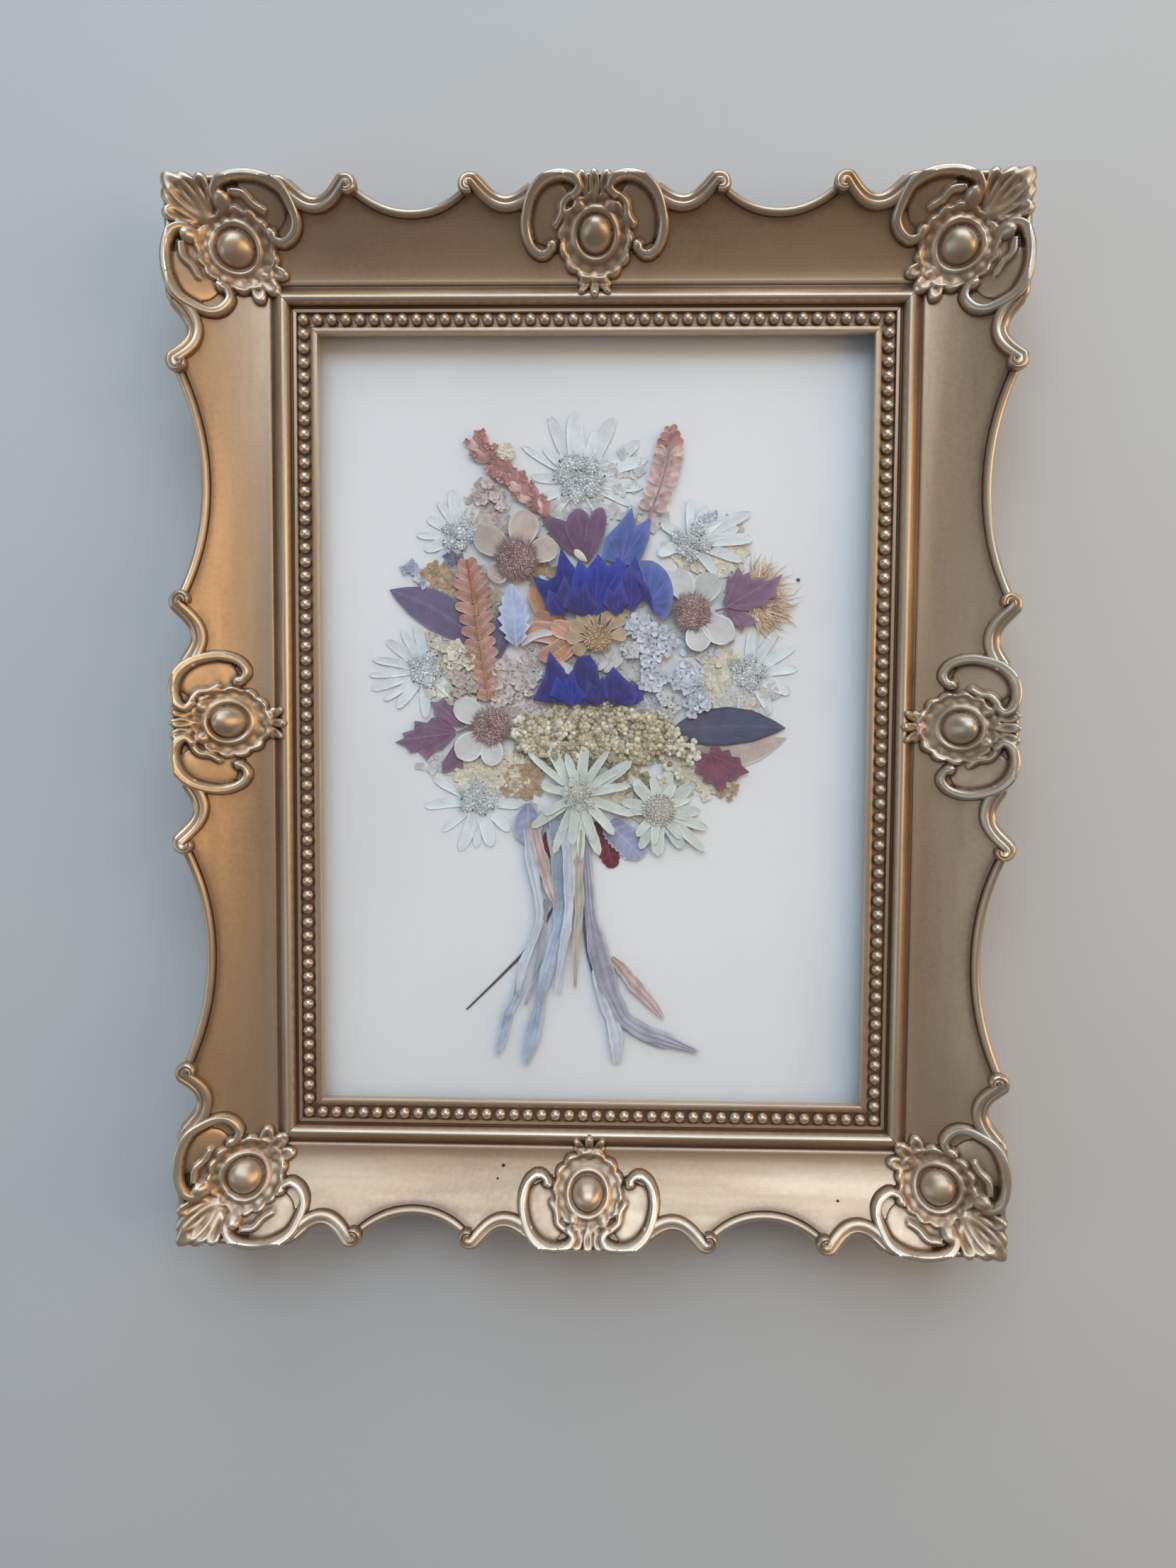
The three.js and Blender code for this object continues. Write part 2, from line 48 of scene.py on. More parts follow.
# camera, floor, light
cameraSetup = {
    "place": (6.86, 2.94, 284.53),     # millimetres above the frame's back
    "turn": (-3.382, 1.642, 0.341),    # degrees
    "lens": 28.07,
    "sensor": 36,
    "nearest": 0.01,                   # metres
}


def makeCamera():
    data = bpy.data.cameras.new("camera")
    data.lens = cameraSetup["lens"]
    data.sensor_width = cameraSetup["sensor"]
    data.clip_start = cameraSetup["nearest"]
    cam = bpy.data.objects.new("camera", data)
    cam.location = [v * mm for v in cameraSetup["place"]]
    cam.rotation_euler = [math.radians(v) for v in cameraSetup["turn"]]
    scene.collection.objects.link(cam)
    scene.camera = cam
    scene.view_settings.view_transform = "Standard"


lightSetup = {
    # name: (place in m, size in m, watts, colour)
    "windowLight": ((0.05, 0.80, 1.13), (1.3, 0.70), 9.0, (0.64, 0.81, 1.0)),
    "lowWindow": ((-0.02, 0.84, 0.36), (1.0, 0.4), 2.5, (0.72, 0.86, 1.0)),
    "roomLight": ((0.62, 0.06, 0.40), (0.35, 0.7), 1.75, (1.0, 0.70, 0.37)),
    "overheadFill": ((-0.12, 0.05, 0.95), (0.9, 0.9), 0.4, (1.0, 0.95, 0.90)),
    "greyFill": ((-0.6, -0.1, 0.4), (0.4, 0.6), 0.65, (0.64, 0.80, 1.0)),
}
worldLight = {"colour": (0.80, 0.82, 0.86, 1), "strength": 0.10}


def makeLights():
    for name, (place, size, watts, colour) in lightSetup.items():
        data = bpy.data.lights.new(name, "AREA")
        data.shape = "RECTANGLE"
        data.size, data.size_y = size
        data.energy = watts
        data.color = colour
        lamp = bpy.data.objects.new(name, data)
        lamp.location = place
        aim = -lamp.location.normalized()
        lamp.rotation_euler = aim.to_track_quat("-Z", "Y").to_euler()
        scene.collection.objects.link(lamp)
    world = bpy.data.worlds.new("room")
    scene.world = world
    world.use_nodes = True
    sky = world.node_tree.nodes["Background"]
    sky.inputs["Color"].default_value = worldLight["colour"]
    sky.inputs["Strength"].default_value = worldLight["strength"]


floorSetup = {"half": 3.0, "below": 0.0002, "colour": (0.74, 0.72, 0.69, 1), "roughness": 0.8}    # metres


def makeFloor():
    h = floorSetup["half"]
    mesh = bpy.data.meshes.new("floor")
    mesh.from_pydata([(-h, -h, 0), (h, -h, 0), (h, h, 0), (-h, h, 0)], [], [(0, 1, 2, 3)])
    floor = bpy.data.objects.new("floor", mesh)
    floor.location.z = -floorSetup["below"]
    scene.collection.objects.link(floor)
    material = bpy.data.materials.new("floorPale")
    material.use_nodes = True
    shader = material.node_tree.nodes["Principled BSDF"]
    shader.inputs["Base Color"].default_value = floorSetup["colour"]
    shader.inputs["Roughness"].default_value = floorSetup["roughness"]
    mesh.materials.append(material)


makeCamera()
makeLights()
makeFloor()
print("camera, lights and floor made")


# mesh helpers
# surface marks: hollow or crest (edge on plants), share of the length, chance shade, vein; on the gilt the
# hollow or crest mark gives glaze and painted shade in recesses, wear and painted highlight on crests
markNames = ("relief", "along", "shade", "vein")


class Shape:
    # vertices, faces, surface marks and finishes gathered for one piece

    def __init__(self):
        self.points, self.faces, self.marks, self.finishes = [], [], [], []
        self.count = 0

    def add(self, points, faces, marks, finishIndex=0):
        # marks hold the relief alone, or one column for each mark
        points = np.asarray(points, float).reshape(-1, 3)
        marks = np.asarray(marks, float).reshape(len(points), -1)
        full = np.zeros((len(points), len(markNames)))
        full[:, :marks.shape[1]] = marks
        self.points.append(points)
        self.marks.append(full)
        self.faces += [[i + self.count for i in face] for face in faces]
        self.finishes += [finishIndex] * len(faces)
        self.count += len(points)


def makePiece(name, shape, materials, slot, replaces=(), sharpAngle=40):
    mesh = bpy.data.meshes.new(name)
    points = np.concatenate(shape.points) * mm
    mesh.from_pydata(points.tolist(), [], shape.faces)
    marks = np.concatenate(shape.marks).astype(np.float32)
    for column, markName in enumerate(markNames):
        if marks[:, column].any():
            layer = mesh.attributes.new(markName, "FLOAT", "POINT")
            layer.data.foreach_set("value", np.ascontiguousarray(marks[:, column]))
    for material in materials:
        mesh.materials.append(material)
    mesh.polygons.foreach_set("material_index", shape.finishes)
    outward = bmesh.new()
    outward.from_mesh(mesh)
    bmesh.ops.recalc_face_normals(outward, faces=outward.faces)
    outward.to_mesh(mesh)
    outward.free()
    mesh.shade_smooth()
    mesh.set_sharp_from_angle(angle=math.radians(sharpAngle))
    piece = bpy.data.objects.new(name, mesh)
    scene.collection.objects.link(piece)
    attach(piece, "root")
    if replaces:
        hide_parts(*replaces)


def gridFaces(rows, columns, closeColumns=False):
    r = np.arange(rows - 1)[:, None]
    c = np.arange(columns if closeColumns else columns - 1)[None, :]
    a = r * columns + c
    b = r * columns + (c + 1) % columns
    return np.stack([a, b, b + columns, a + columns], -1).reshape(-1, 4).tolist()


def tubeFaces(rows, columns):
    # the skin of a tube and its two ends
    ends = [list(range(columns))[::-1], [(rows - 1) * columns + i for i in range(columns)]]
    return gridFaces(rows, columns, True) + ends


def smoothLine(points, steps=8):
    # an even curve through given points
    p = np.asarray(points, float)
    p = np.vstack([2 * p[0] - p[1], p, 2 * p[-1] - p[-2]])
    t = np.linspace(0, 1, steps, endpoint=False)[:, None]
    out = []
    for a, b, c, d in zip(p[:-3], p[1:-2], p[2:-1], p[3:]):
        square, cube = 2 * a - 5 * b + 4 * c - d, 3 * b - a - 3 * c + d
        out.append(0.5 * (2 * b + (c - a) * t + square * t**2 + cube * t**3))
    out.append(p[-2][None])
    return np.concatenate(out)


def heading(angle):
    return np.array([math.cos(angle), math.sin(angle)])


def leftOf(run):
    return np.array([-run[1], run[0]])


def headings(line):
    # the way a line runs at each of its points
    run = np.gradient(line, axis=0)
    return run / np.linalg.norm(run, axis=1)[:, None]


def evenly(share, values):
    # a value at a share of the way through evenly spaced values
    return np.interp(share, np.linspace(0, 1, len(values)), values)


def ballShape(centre, radius, around=12, rings=7, squash=1.0):
    # closed ball, its rings from the bottom up
    angles = np.linspace(-math.pi / 2, math.pi / 2, rings + 1)[1:-1]
    turn = np.linspace(0, 2 * math.pi, around, endpoint=False)
    wide, high = np.cos(angles)[:, None], np.sin(angles)[:, None]
    ring = np.stack([wide * np.cos(turn), wide * np.sin(turn), high * np.ones(around)], -1).reshape(-1, 3)
    points = np.vstack([ring, [[0, 0, -1], [0, 0, 1]]]) * [radius, radius, radius * squash] + centre
    faces = gridFaces(len(angles), around, True)
    bottom, top, last = len(ring), len(ring) + 1, (len(angles) - 1) * around
    for i in range(around):
        j = (i + 1) % around
        faces.append([bottom, j, i])
        faces.append([top, last + i, last + j])
    return points, faces


# materials
def newMaterial(name):
    material = bpy.data.materials.new(name)
    material.use_nodes = True
    tree = material.node_tree
    return material, tree, tree.nodes["Principled BSDF"]


def finishShader(tree, shader, values):
    # each named input takes a value or another node's output
    for key, value in values.items():
        if isinstance(value, bpy.types.NodeSocket):
            tree.links.new(value, shader.inputs[key])
        else:
            shader.inputs[key].default_value = value


def addNode(tree, kind, values=(), **settings):
    made = tree.nodes.new(kind)
    for key, value in settings.items():
        setattr(made, key, value)
    for key, value in dict(values).items():
        made.inputs[key].default_value = value
    return made


def addRamp(tree, source, stops):
    ramp = tree.nodes.new("ShaderNodeValToRGB")
    elements = ramp.color_ramp.elements
    while len(elements) < len(stops):
        elements.new(0.5)
    for element, (place, colour) in zip(elements, stops):
        element.position = place
        element.color = (*colour, 1)
    tree.links.new(source, ramp.inputs["Fac"])
    return ramp.outputs["Color"]


def addMix(tree, factor, first, second):
    mix = addNode(tree, "ShaderNodeMix", data_type="RGBA")
    for name, value in (("Factor", factor), ("A", first), ("B", second)):
        socket = mix.inputs[name]
        if isinstance(value, (int, float)):
            socket.default_value = value
        elif isinstance(value, tuple):
            socket.default_value = (*value, 1)
        else:
            tree.links.new(value, socket)
    return mix.outputs["Result"]


def addNoise(tree, scale, detail=4.0, roughness=0.55, stretch=(1, 1, 1)):
    place = addNode(tree, "ShaderNodeTexCoord")
    mapping = addNode(tree, "ShaderNodeMapping", {"Scale": stretch})
    noise = addNode(tree, "ShaderNodeTexNoise", {"Scale": scale, "Detail": detail, "Roughness": roughness})
    tree.links.new(place.outputs["Object"], mapping.inputs["Vector"])
    tree.links.new(mapping.outputs["Vector"], noise.inputs["Vector"])
    return noise.outputs["Fac"]


def addRange(tree, source, low, high, toLow=0.0, toHigh=1.0):
    span = addNode(tree, "ShaderNodeMapRange",
                   {"From Min": low, "From Max": high, "To Min": toLow, "To Max": toHigh})
    tree.links.new(source, span.inputs["Value"])
    return span.outputs["Result"]


def addMath(tree, operation, first, second):
    node = addNode(tree, "ShaderNodeMath", operation=operation)
    for value, socket in zip((first, second), node.inputs):
        if isinstance(value, (int, float)):
            socket.default_value = value
        else:
            tree.links.new(value, socket)
    return node.outputs["Value"]


def addBump(tree, shader, height, strength, distance):
    bump = addNode(tree, "ShaderNodeBump", {"Strength": strength, "Distance": distance})
    tree.links.new(height, bump.inputs["Height"])
    tree.links.new(bump.outputs["Normal"], shader.inputs["Normal"])


# the darkest stop is brown glaze with painted shade for the recesses; the palest stop is rubbed metal with a
# painted highlight for the high spots
giltLook = {
    "hollow": (0.13, 0.075, 0.045),
    "shade": (0.31, 0.19, 0.115),
    "gold": (0.62, 0.415, 0.25),
    "wornAndHighlight": (0.83, 0.70, 0.54),
    "metallic": 0.68,
    "streak": (0.40, 0.27, 0.16),
    "roughness": 0.29,
    "varnish": 0.5,
    "varnishRoughness": 0.3,
    "varnishGloss": 1.6,
    "patchScale": 55, "strokeScale": 260, "speckScale": 900,
}


def giltMaterial(name, brush=(1, 1, 1)):
    # antique gold paint: brown glaze and painted shade in the hollows, paler rubbed metal and painted
    # highlight on the high spots
    material, tree, shader = newMaterial(name)
    relief = addNode(tree, "ShaderNodeAttribute", attribute_name="relief").outputs["Fac"]
    patches = addNoise(tree, giltLook["patchScale"], 4, 0.6, [max(v, 0.3) for v in brush])
    specks = addNoise(tree, giltLook["speckScale"], 3, 0.6)
    strokes = addNoise(tree, giltLook["strokeScale"], 3, 0.5, brush)
    depth = addMath(tree, "ADD", relief, addRange(tree, patches, 0.3, 0.7, -0.14, 0.14))
    depth = addMath(tree, "ADD", depth, addRange(tree, specks, 0.25, 0.75, -0.07, 0.07))
    stops = [(0.08, "hollow"), (0.32, "shade"), (0.5, "gold"), (0.86, "wornAndHighlight")]
    colour = addRamp(tree, addRange(tree, depth, -1, 1), [(place, giltLook[key]) for place, key in stops])
    tone = addMix(tree, addRange(tree, strokes, 0.35, 0.75, 0, 0.32), colour, giltLook["streak"])
    rough = addRange(tree, depth, -1, 1, giltLook["roughness"] + 0.22, giltLook["roughness"] - 0.06)
    rough = addMath(tree, "ADD", rough, addRange(tree, strokes, 0.3, 0.7, -0.04, 0.08))
    finishShader(tree, shader, {
        "Base Color": tone, "Metallic": giltLook["metallic"], "Roughness": rough,
        "Coat Weight": giltLook["varnish"], "Coat Roughness": giltLook["varnishRoughness"],
        "Coat IOR": giltLook["varnishGloss"]})
    grain = addMath(tree, "ADD", strokes, addMath(tree, "MULTIPLY", specks, 0.5))
    addBump(tree, shader, grain, 0.12, 0.0002)
    return material


giltAcross = giltMaterial("giltWoodAcross", (0.1, 1, 1))    # brushed along the top and bottom
giltUpright = giltMaterial("giltWoodUpright", (1, 0.1, 1))    # brushed along the sides
giltCast = giltMaterial("giltCast")


# rails
rail = {
    "sightWidth": 122.0, "sightHeight": 171.0,
    # how far the wavy rim reaches out from the opening, and where along the side
    "fullReach": 30.0, "cuspReach": 29.5, "hollowReach": 26.1, "sweepReach": 24.2,
    "centreHalf": 8.0, "hollowBottom": 18.8, "innerCusp": 24.8,
    "outerCuspBack": 7.6, "farHollowBack": 1.8, "cornerStart": 6.0,
    "coveStart": 11.6, "coveFloor": 13.25, "coveSlope": 0.36, "coveCurve": 0.0118, "coveSteps": 10,
    "rimWidth": 2.35, "rimRise": 1.1, "rimWiden": 1.6,
    "wallInset": 0.8, "wallDrop": 3.2, "wallFoot": 3.0, "backInset": 5.0, "chamfer": 0.4,
    "leanBack": 3.0, "mitreGap": 0.06,
    "beadPitch": 3.12, "beadRadius": 1.28, "beadLine": 3.05, "beadHeight": 12.05,
    "beadSides": 12, "beadRings": 8,
}

# section of the sight edge: distance out from the opening, height, hollow or crest (grooves darkened as glaze
# and painted shade, crests paled as wear and painted highlight)
innerSection = [
    (4.75, 0, 0), (4.75, 10, 0), (0, 10, 0), (0, 11.5, 0.1), (0.15, 11.85, 0.3), (0.5, 12, 0.15),
    (1.3, 12, -0.1), (1.6, 11.8, -0.4), (1.72, 11.3, -0.45), (3.05, 11.1, -0.4), (4.32, 11.3, -0.45),
    (4.42, 12, -0.3), (4.62, 12.35, 0.1), (5.2, 12.4, 0.05), (5.5, 12.15, -0.3), (5.68, 11.8, -0.85),
    (5.85, 11.85, -0.7), (5.98, 12.8, -0.2), (6.15, 13.55, 0.2), (6.5, 14.2, 0.45), (6.95, 14.52, 0.5),
    (7.4, 14.55, 0.3), (8, 14.25, 0), (8.7, 13.62, -0.25), (9.3, 13.05, -0.55), (9.6, 12.85, -0.8),
    (9.85, 12.8, -0.75), (10.05, 13, -0.2), (10.4, 13.18, 0.1), (10.9, 13.24, 0.1), (11.3, 13.25, 0.05),
]
# rim roll: distance in from the rim line (scaled where the line runs steeply), drop from its top, hollow or
# crest (painted shade at the rim's foot, wear and painted highlight on its top)
rimSection = [
    (2.35, 1.22, -0.5), (2.12, 1.3, -0.9), (1.98, 0.95, -0.3), (1.7, 0.42, 0.1), (1.3, 0.1, 0.35),
    (0.85, 0, 0.45), (0.42, 0.22, 0.4), (0.12, 0.75, 0.25), (0, 1.4, 0.1), (0.1, 2.1, 0), (0.5, 2.7, -0.2),
]


def bend(start, end, leave, arrive, steps):
    # a curve that leaves and arrives running along the side
    t = np.linspace(0, 1, steps + 1)[1:, None]
    a, d = np.array(start, float), np.array(end, float)
    b, c = a + [leave, 0], d - [arrive, 0]
    return (1 - t)**3 * a + 3 * (1 - t)**2 * t * b + 3 * (1 - t) * t**2 * c + t**3 * d


def rimLine(half):
    # along the side and reach from the opening; half of one side
    r = rail
    outerCusp, cornerStart = half - r["outerCuspBack"], half + r["cornerStart"]
    middle = (r["innerCusp"] + outerCusp) / 2
    pull = (outerCusp - r["innerCusp"]) * 0.3
    start, edge = (0, r["fullReach"]), (r["centreHalf"], r["fullReach"])
    hollow, cusp = (r["hollowBottom"], r["hollowReach"]), (r["innerCusp"], r["cuspReach"])
    sweep, farCusp = (middle, r["sweepReach"]), (outerCusp, r["cuspReach"])
    farHollow = (half - r["farHollowBack"], r["hollowReach"])
    cornerEdge, end = (cornerStart, r["fullReach"]), (half + r["fullReach"], r["fullReach"])
    sweepSteps = int((middle - r["innerCusp"]) / 0.9)
    # each bend: from, to, its pull at both ends, steps
    bends = [
        (start, edge, 3, 3, 8), (edge, hollow, 4.5, 3, 14), (hollow, cusp, 2.8, 0.9, 12),
        (cusp, sweep, 2.4, pull, sweepSteps), (sweep, farCusp, pull, 2.4, sweepSteps),
        (farCusp, farHollow, 0.9, 2.8, 12), (farHollow, cornerEdge, 3, 3.2, 11), (cornerEdge, end, 8, 8, 12),
    ]
    return np.concatenate([np.array([start])] + [bend(*each) for each in bends])


def wholeRimLine(half):
    right = rimLine(half)
    left = right[1:][::-1] * [-1, 1]
    return np.concatenate([left, right])


def faceHeight(out):
    # height of the moulding's face at a distance out from the opening
    inner = np.array([(o, h) for o, h, _ in innerSection[4:]])
    run = np.maximum(np.asarray(out, float) - rail["coveStart"], 0)
    cove = rail["coveFloor"] + rail["coveSlope"] * run + rail["coveCurve"] * run**2
    return np.where(out < rail["coveStart"], np.interp(out, inner[:, 0], inner[:, 1]), cove)


def railShape(half):
    line = wholeRimLine(half)
    along, reach = line.T
    slope = np.gradient(reach) / np.maximum(np.gradient(along), 1e-6)
    widen = np.clip(np.sqrt(1 + slope**2), 1, rail["rimWiden"])
    coveEnd = reach - rail["rimWidth"] * widen
    top = faceHeight(coveEnd) + rail["rimRise"]
    sections = []
    for out, height, mark in innerSection:
        sections.append((np.full_like(along, out), np.full_like(along, height), mark))
    steps = rail["coveSteps"]
    # the last cove step darkens sharply as painted shade in the crease at the rim's foot
    for k in range(1, steps + 1):
        out = rail["coveStart"] + (coveEnd - rail["coveStart"]) * k / steps
        sections.append((out, faceHeight(out), 0.02 - 0.5 * (k / steps)**14))
    for inset, drop, mark in rimSection:
        sections.append((reach - inset * widen, top - drop, mark))
    # the plain outer wall slopes in to the back, darkened as painted shade under the rim
    inset, back = rail["wallInset"], reach - rail["backInset"]
    for share in (0.3, 0.65, 1.0):
        height = (top - rail["wallDrop"]) * (1 - share) + rail["wallFoot"] * share
        sections.append((reach - inset - (rail["backInset"] - inset) * share, height, -0.3))
    sections.append((back, np.full_like(along, rail["chamfer"]), -0.4))
    sections.append((back - rail["chamfer"], np.zeros_like(along), -0.4))

    leanStart = half - rail["leanBack"]
    lean = np.clip((abs(along) - leanStart) / (half + rail["fullReach"] - leanStart), 0, 1)
    points = np.zeros((len(along), len(sections), 3))
    marks = np.zeros((len(along), len(sections)))
    for k, (out, height, mark) in enumerate(sections):
        points[:, k, 0] = np.sign(along) * (abs(along) - (reach - out) * lean - rail["mitreGap"] * lean)
        points[:, k, 1] = out
        points[:, k, 2] = height
        marks[:, k] = mark
    shape = Shape()
    shape.add(points, tubeFaces(*marks.shape), marks)
    addBeads(shape, half)
    addHooks(shape, half, line)
    return shape


def addBeads(shape, half):
    run = 2 * (half + rail["beadLine"])
    count = round(run / rail["beadPitch"])
    corner = half == rail["sightWidth"] / 2    # the shorter sides carry the corner beads
    radius, height = rail["beadRadius"], rail["beadHeight"]
    for i in range(0 if corner else 1, count + 1 if corner else count):
        x = -run / 2 + run * i / count
        middle = (x, rail["beadLine"], height)
        points, faces = ballShape(middle, radius, rail["beadSides"], rail["beadRings"])
        # each bead is paler on top as wear and painted highlight, and darker below its middle as painted
        # shade
        crest = np.clip((points[:, 2] - height) / radius, -1, 1)
        shape.add(points, faces, np.where(crest > 0, crest**2 * 0.6, crest * 0.9) + 0.05)


hook = {
    "starts": 13.5, "cuspShort": 0.2, "farStart": 3.4, "farEnd": 7.4,    # where a hook begins and ends
    "halfWidth": 1.95, "taper": 0.18, "bulge": 1.25, "standOver": 0.5, "climb": 0.5, "under": 1.8,
    "groove": 0.5, "grooveWidth": 0.17, "grooveShift": 0.1,
    "curl": 1.6, "turn": 4.1, "tighten": 0.12, "tailTaper": 0.14, "tailLift": 0.3,
}


def hookPath(line, side, start, end):
    # the middle of a hook, the way inward from the rim, its half widths and heights
    onSide = line[:, 0] * side
    path = line[(onSide >= min(start, end)) & (onSide <= max(start, end))] * [side, 1]
    path = path[np.argsort(path[:, 0])][::1 if start < end else -1]
    direction = headings(path)
    inward = np.stack([direction[:, 1], -direction[:, 0]], -1)
    inward *= -np.sign(inward[:, 1:])
    share = np.linspace(0, 1, len(path))[:, None]
    width = hook["halfWidth"] * (1 - hook["taper"] * share)
    middle = path + inward * width
    lift = faceHeight(middle[:, 1])[:, None] + hook["standOver"] + hook["climb"] * share
    # the end rolls inward into a small volute
    roll = np.linspace(0, hook["turn"], 15)[1:, None]
    centre = middle[-1] + inward[-1] * hook["curl"]
    rolled = inward[-1] * np.cos(roll) - direction[-1] * np.sin(roll)
    middle = np.vstack([middle, centre - rolled * (hook["curl"] * (1 - hook["tighten"] * roll))])
    inward = np.vstack([inward, rolled])
    width = np.vstack([width, width[-1] * (1 - hook["tailTaper"] * roll)])
    lift = np.vstack([lift, lift[-1] + hook["tailLift"] * np.sin(roll / 2)])
    return middle, inward, width[:, 0], lift[:, 0]


def addHooks(shape, half, line):
    # a raised double rim follows each small hollow and curls over at the cusp
    across = np.linspace(-1, 1, 19)
    groove = hook["groove"] * np.exp(-((across + hook["grooveShift"]) / hook["grooveWidth"])**2)
    bulge = np.sqrt(np.clip(1 - across**2, 0, 1)) - groove
    sole = np.array([0.85, 0.0, -0.85])
    # the mark is paler along the bulge as wear and painted highlight, and darker in the groove, at the edges
    # and underneath as painted shade
    crest = np.concatenate([bulge * 1.1 - 0.45, [-0.6] * len(sole)])
    hollows = [(hook["starts"], rail["innerCusp"] - hook["cuspShort"]),
               (half + hook["farStart"], half - hook["farEnd"])]
    for side in (-1, 1):
        for start, end in hollows:
            rows = []
            for m, n, w, z in zip(*hookPath(line, side, start, end)):
                flat = m + n * (w * across)[:, None]
                low = m + n * (w * sole)[:, None]
                heights = np.concatenate([z + hook["bulge"] * bulge, np.full(len(sole), z - hook["under"])])
                rows.append(np.column_stack([np.vstack([flat, low]), heights]))
            rows = np.array(rows)
            faces = tubeFaces(*rows.shape[:2])
            if (side > 0) == (start < end):
                faces = [f[::-1] for f in faces]
            shape.add(rows * [side, 1, 1], faces, np.tile(crest, len(rows)))


sidePlaces = {
    # name: quarter turns, half length of the opening's side, distance from the middle
    "top": (0, rail["sightWidth"] / 2, rail["sightHeight"] / 2),
    "left": (1, rail["sightHeight"] / 2, rail["sightWidth"] / 2),
    "bottom": (2, rail["sightWidth"] / 2, rail["sightHeight"] / 2),
    "right": (3, rail["sightHeight"] / 2, rail["sightWidth"] / 2),
}


def turned(points, quarterTurns):
    x, y, z = np.asarray(points, float).T
    for _ in range(quarterTurns):
        x, y = -y, x
    return np.column_stack([x, y, z])


def placeOnSide(shape, quarterTurns, distance):
    shape.points = [turned(p + [0, distance, 0], quarterTurns) for p in shape.points]
    return shape


for sideName, (turns, half, distance) in sidePlaces.items():
    shape = placeOnSide(railShape(half), turns, distance)
    gilt = giltUpright if turns % 2 else giltAcross
    makePiece("railGilt_" + sideName, shape, [gilt], "gilt_wood", ["rail_" + sideName])
print("rails made")


# cast ornaments
# Each ornament is carved as a relief over a fine grid: domes, ridges and scooped lobes.
carving = {
    "grid": 0.28, "plinth": 0.55, "highest": 26.2, "seatTop": 22.7, "sharpAngle": 60,
    "overRim": 26.5, "apron": 1.3,                        # beyond the rim the walls stay short
    "wallFrom": 7.0, "wallFoot": 12.6, "wallSlope": 0.16,    # elsewhere they sink into the moulding
    "levelRounds": 14, "crestGain": 2.2,
}


def seatHeight(out):
    # the moulding's face, levelled off where a casting lies over the rim
    return np.minimum(faceHeight(out), carving["seatTop"])


def reachAlongSide(x, y):
    return y


def roundedReach(x, y):
    # the corner's two slopes run into each other softly
    return np.log(np.exp(x / 2) + np.exp(y / 2)) * 2


def domeRelief(x, y, centre, radius, height, stretch=1.0):
    q = np.hypot(x - centre[0], (y - centre[1]) / stretch) / radius
    return np.where(q < 1, height * np.sqrt(np.clip(1 - q**2, 0, 1)), (1 - q) * radius)


def ridgeRelief(x, y, path, widths, height, groove=0.0):
    # a rounded ridge along a smooth path, its half width changing from end to end
    line = smoothLine(path, 8)
    widths = evenly(np.linspace(0, 1, len(line)), widths)
    best = np.full(x.shape, 9.0)
    for (px, py), (qx, qy), w in zip(line[:-1], line[1:], (widths[:-1] + widths[1:]) / 2):
        dx, dy = qx - px, qy - py
        t = np.clip(((x - px) * dx + (y - py) * dy) / (dx * dx + dy * dy + 1e-9), 0, 1)
        best = np.minimum(best, np.hypot(x - px - t * dx, y - py - t * dy) / w)
    mean = widths.mean()
    face = height * np.sqrt(np.clip(1 - best**2, 0, 1)) - groove * np.exp(-(best / 0.28)**2)
    return np.where(best < 1, face, (1 - best) * mean * 1.3)


def lobeRelief(x, y, root, tip, halfWidth, height, scoop=0.5):
    # a petal-shaped lobe with a raised edge, hollowed along its middle
    root, tip = np.array(root, float), np.array(tip, float)
    length = np.linalg.norm(tip - root)
    dx, dy = (tip - root) / length
    t = ((x - root[0]) * dx + (y - root[1]) * dy) / length
    across = (x - root[0]) * -dy + (y - root[1]) * dx
    q = np.sqrt(((t - 0.5) / 0.5)**2 + (across / (halfWidth * (0.78 + 0.22 * np.clip(t, 0, 1))))**2)
    dish = 1 - scoop * np.exp(-(q / 0.55)**2)
    body = height * dish * np.clip(1 - q**6, 0, 1)**0.5 * (0.75 + 0.25 * np.clip(t, 0, 1))
    return np.where(q < 1, body, (1 - q) * halfWidth * 1.3)


def skirtRelief(x, y, centre, inner, outer, scallops, height, turn=0.0, inward=(0, -1)):
    # a hollow dish round the boss with a thin raised wavy lip, wider towards the opening
    dx, dy = x - centre[0], y - centre[1]
    r, a = np.hypot(dx, dy), np.arctan2(dy, dx) + turn
    toOpening = (dx * inward[0] + dy * inward[1]) / np.maximum(r, 0.01)
    edge = outer * (0.93 + 0.07 * toOpening) * (0.93 + 0.07 * abs(np.cos(a * scallops / 2)))
    q = np.clip(r / edge, 0, 3)
    lip = np.exp(-((q - 0.92) / 0.065)**2)
    saddle = np.exp(-((r - inner) / 0.55)**2)
    flutes = 0.12 * np.cos(a * scallops) * np.clip((q - 0.6) / 0.3, 0, 1)
    face = height * (0.42 + 0.5 * lip + 0.35 * saddle + flutes)
    return np.where(q < 1, np.maximum(face * np.clip((1 - q**16), 0, 1), 0.1), (1 - q) * outer * 0.8)


def mirrored(path, swap=False):
    other = [(y, x) if swap else (-x, y) for x, y in path]
    return [path, other]


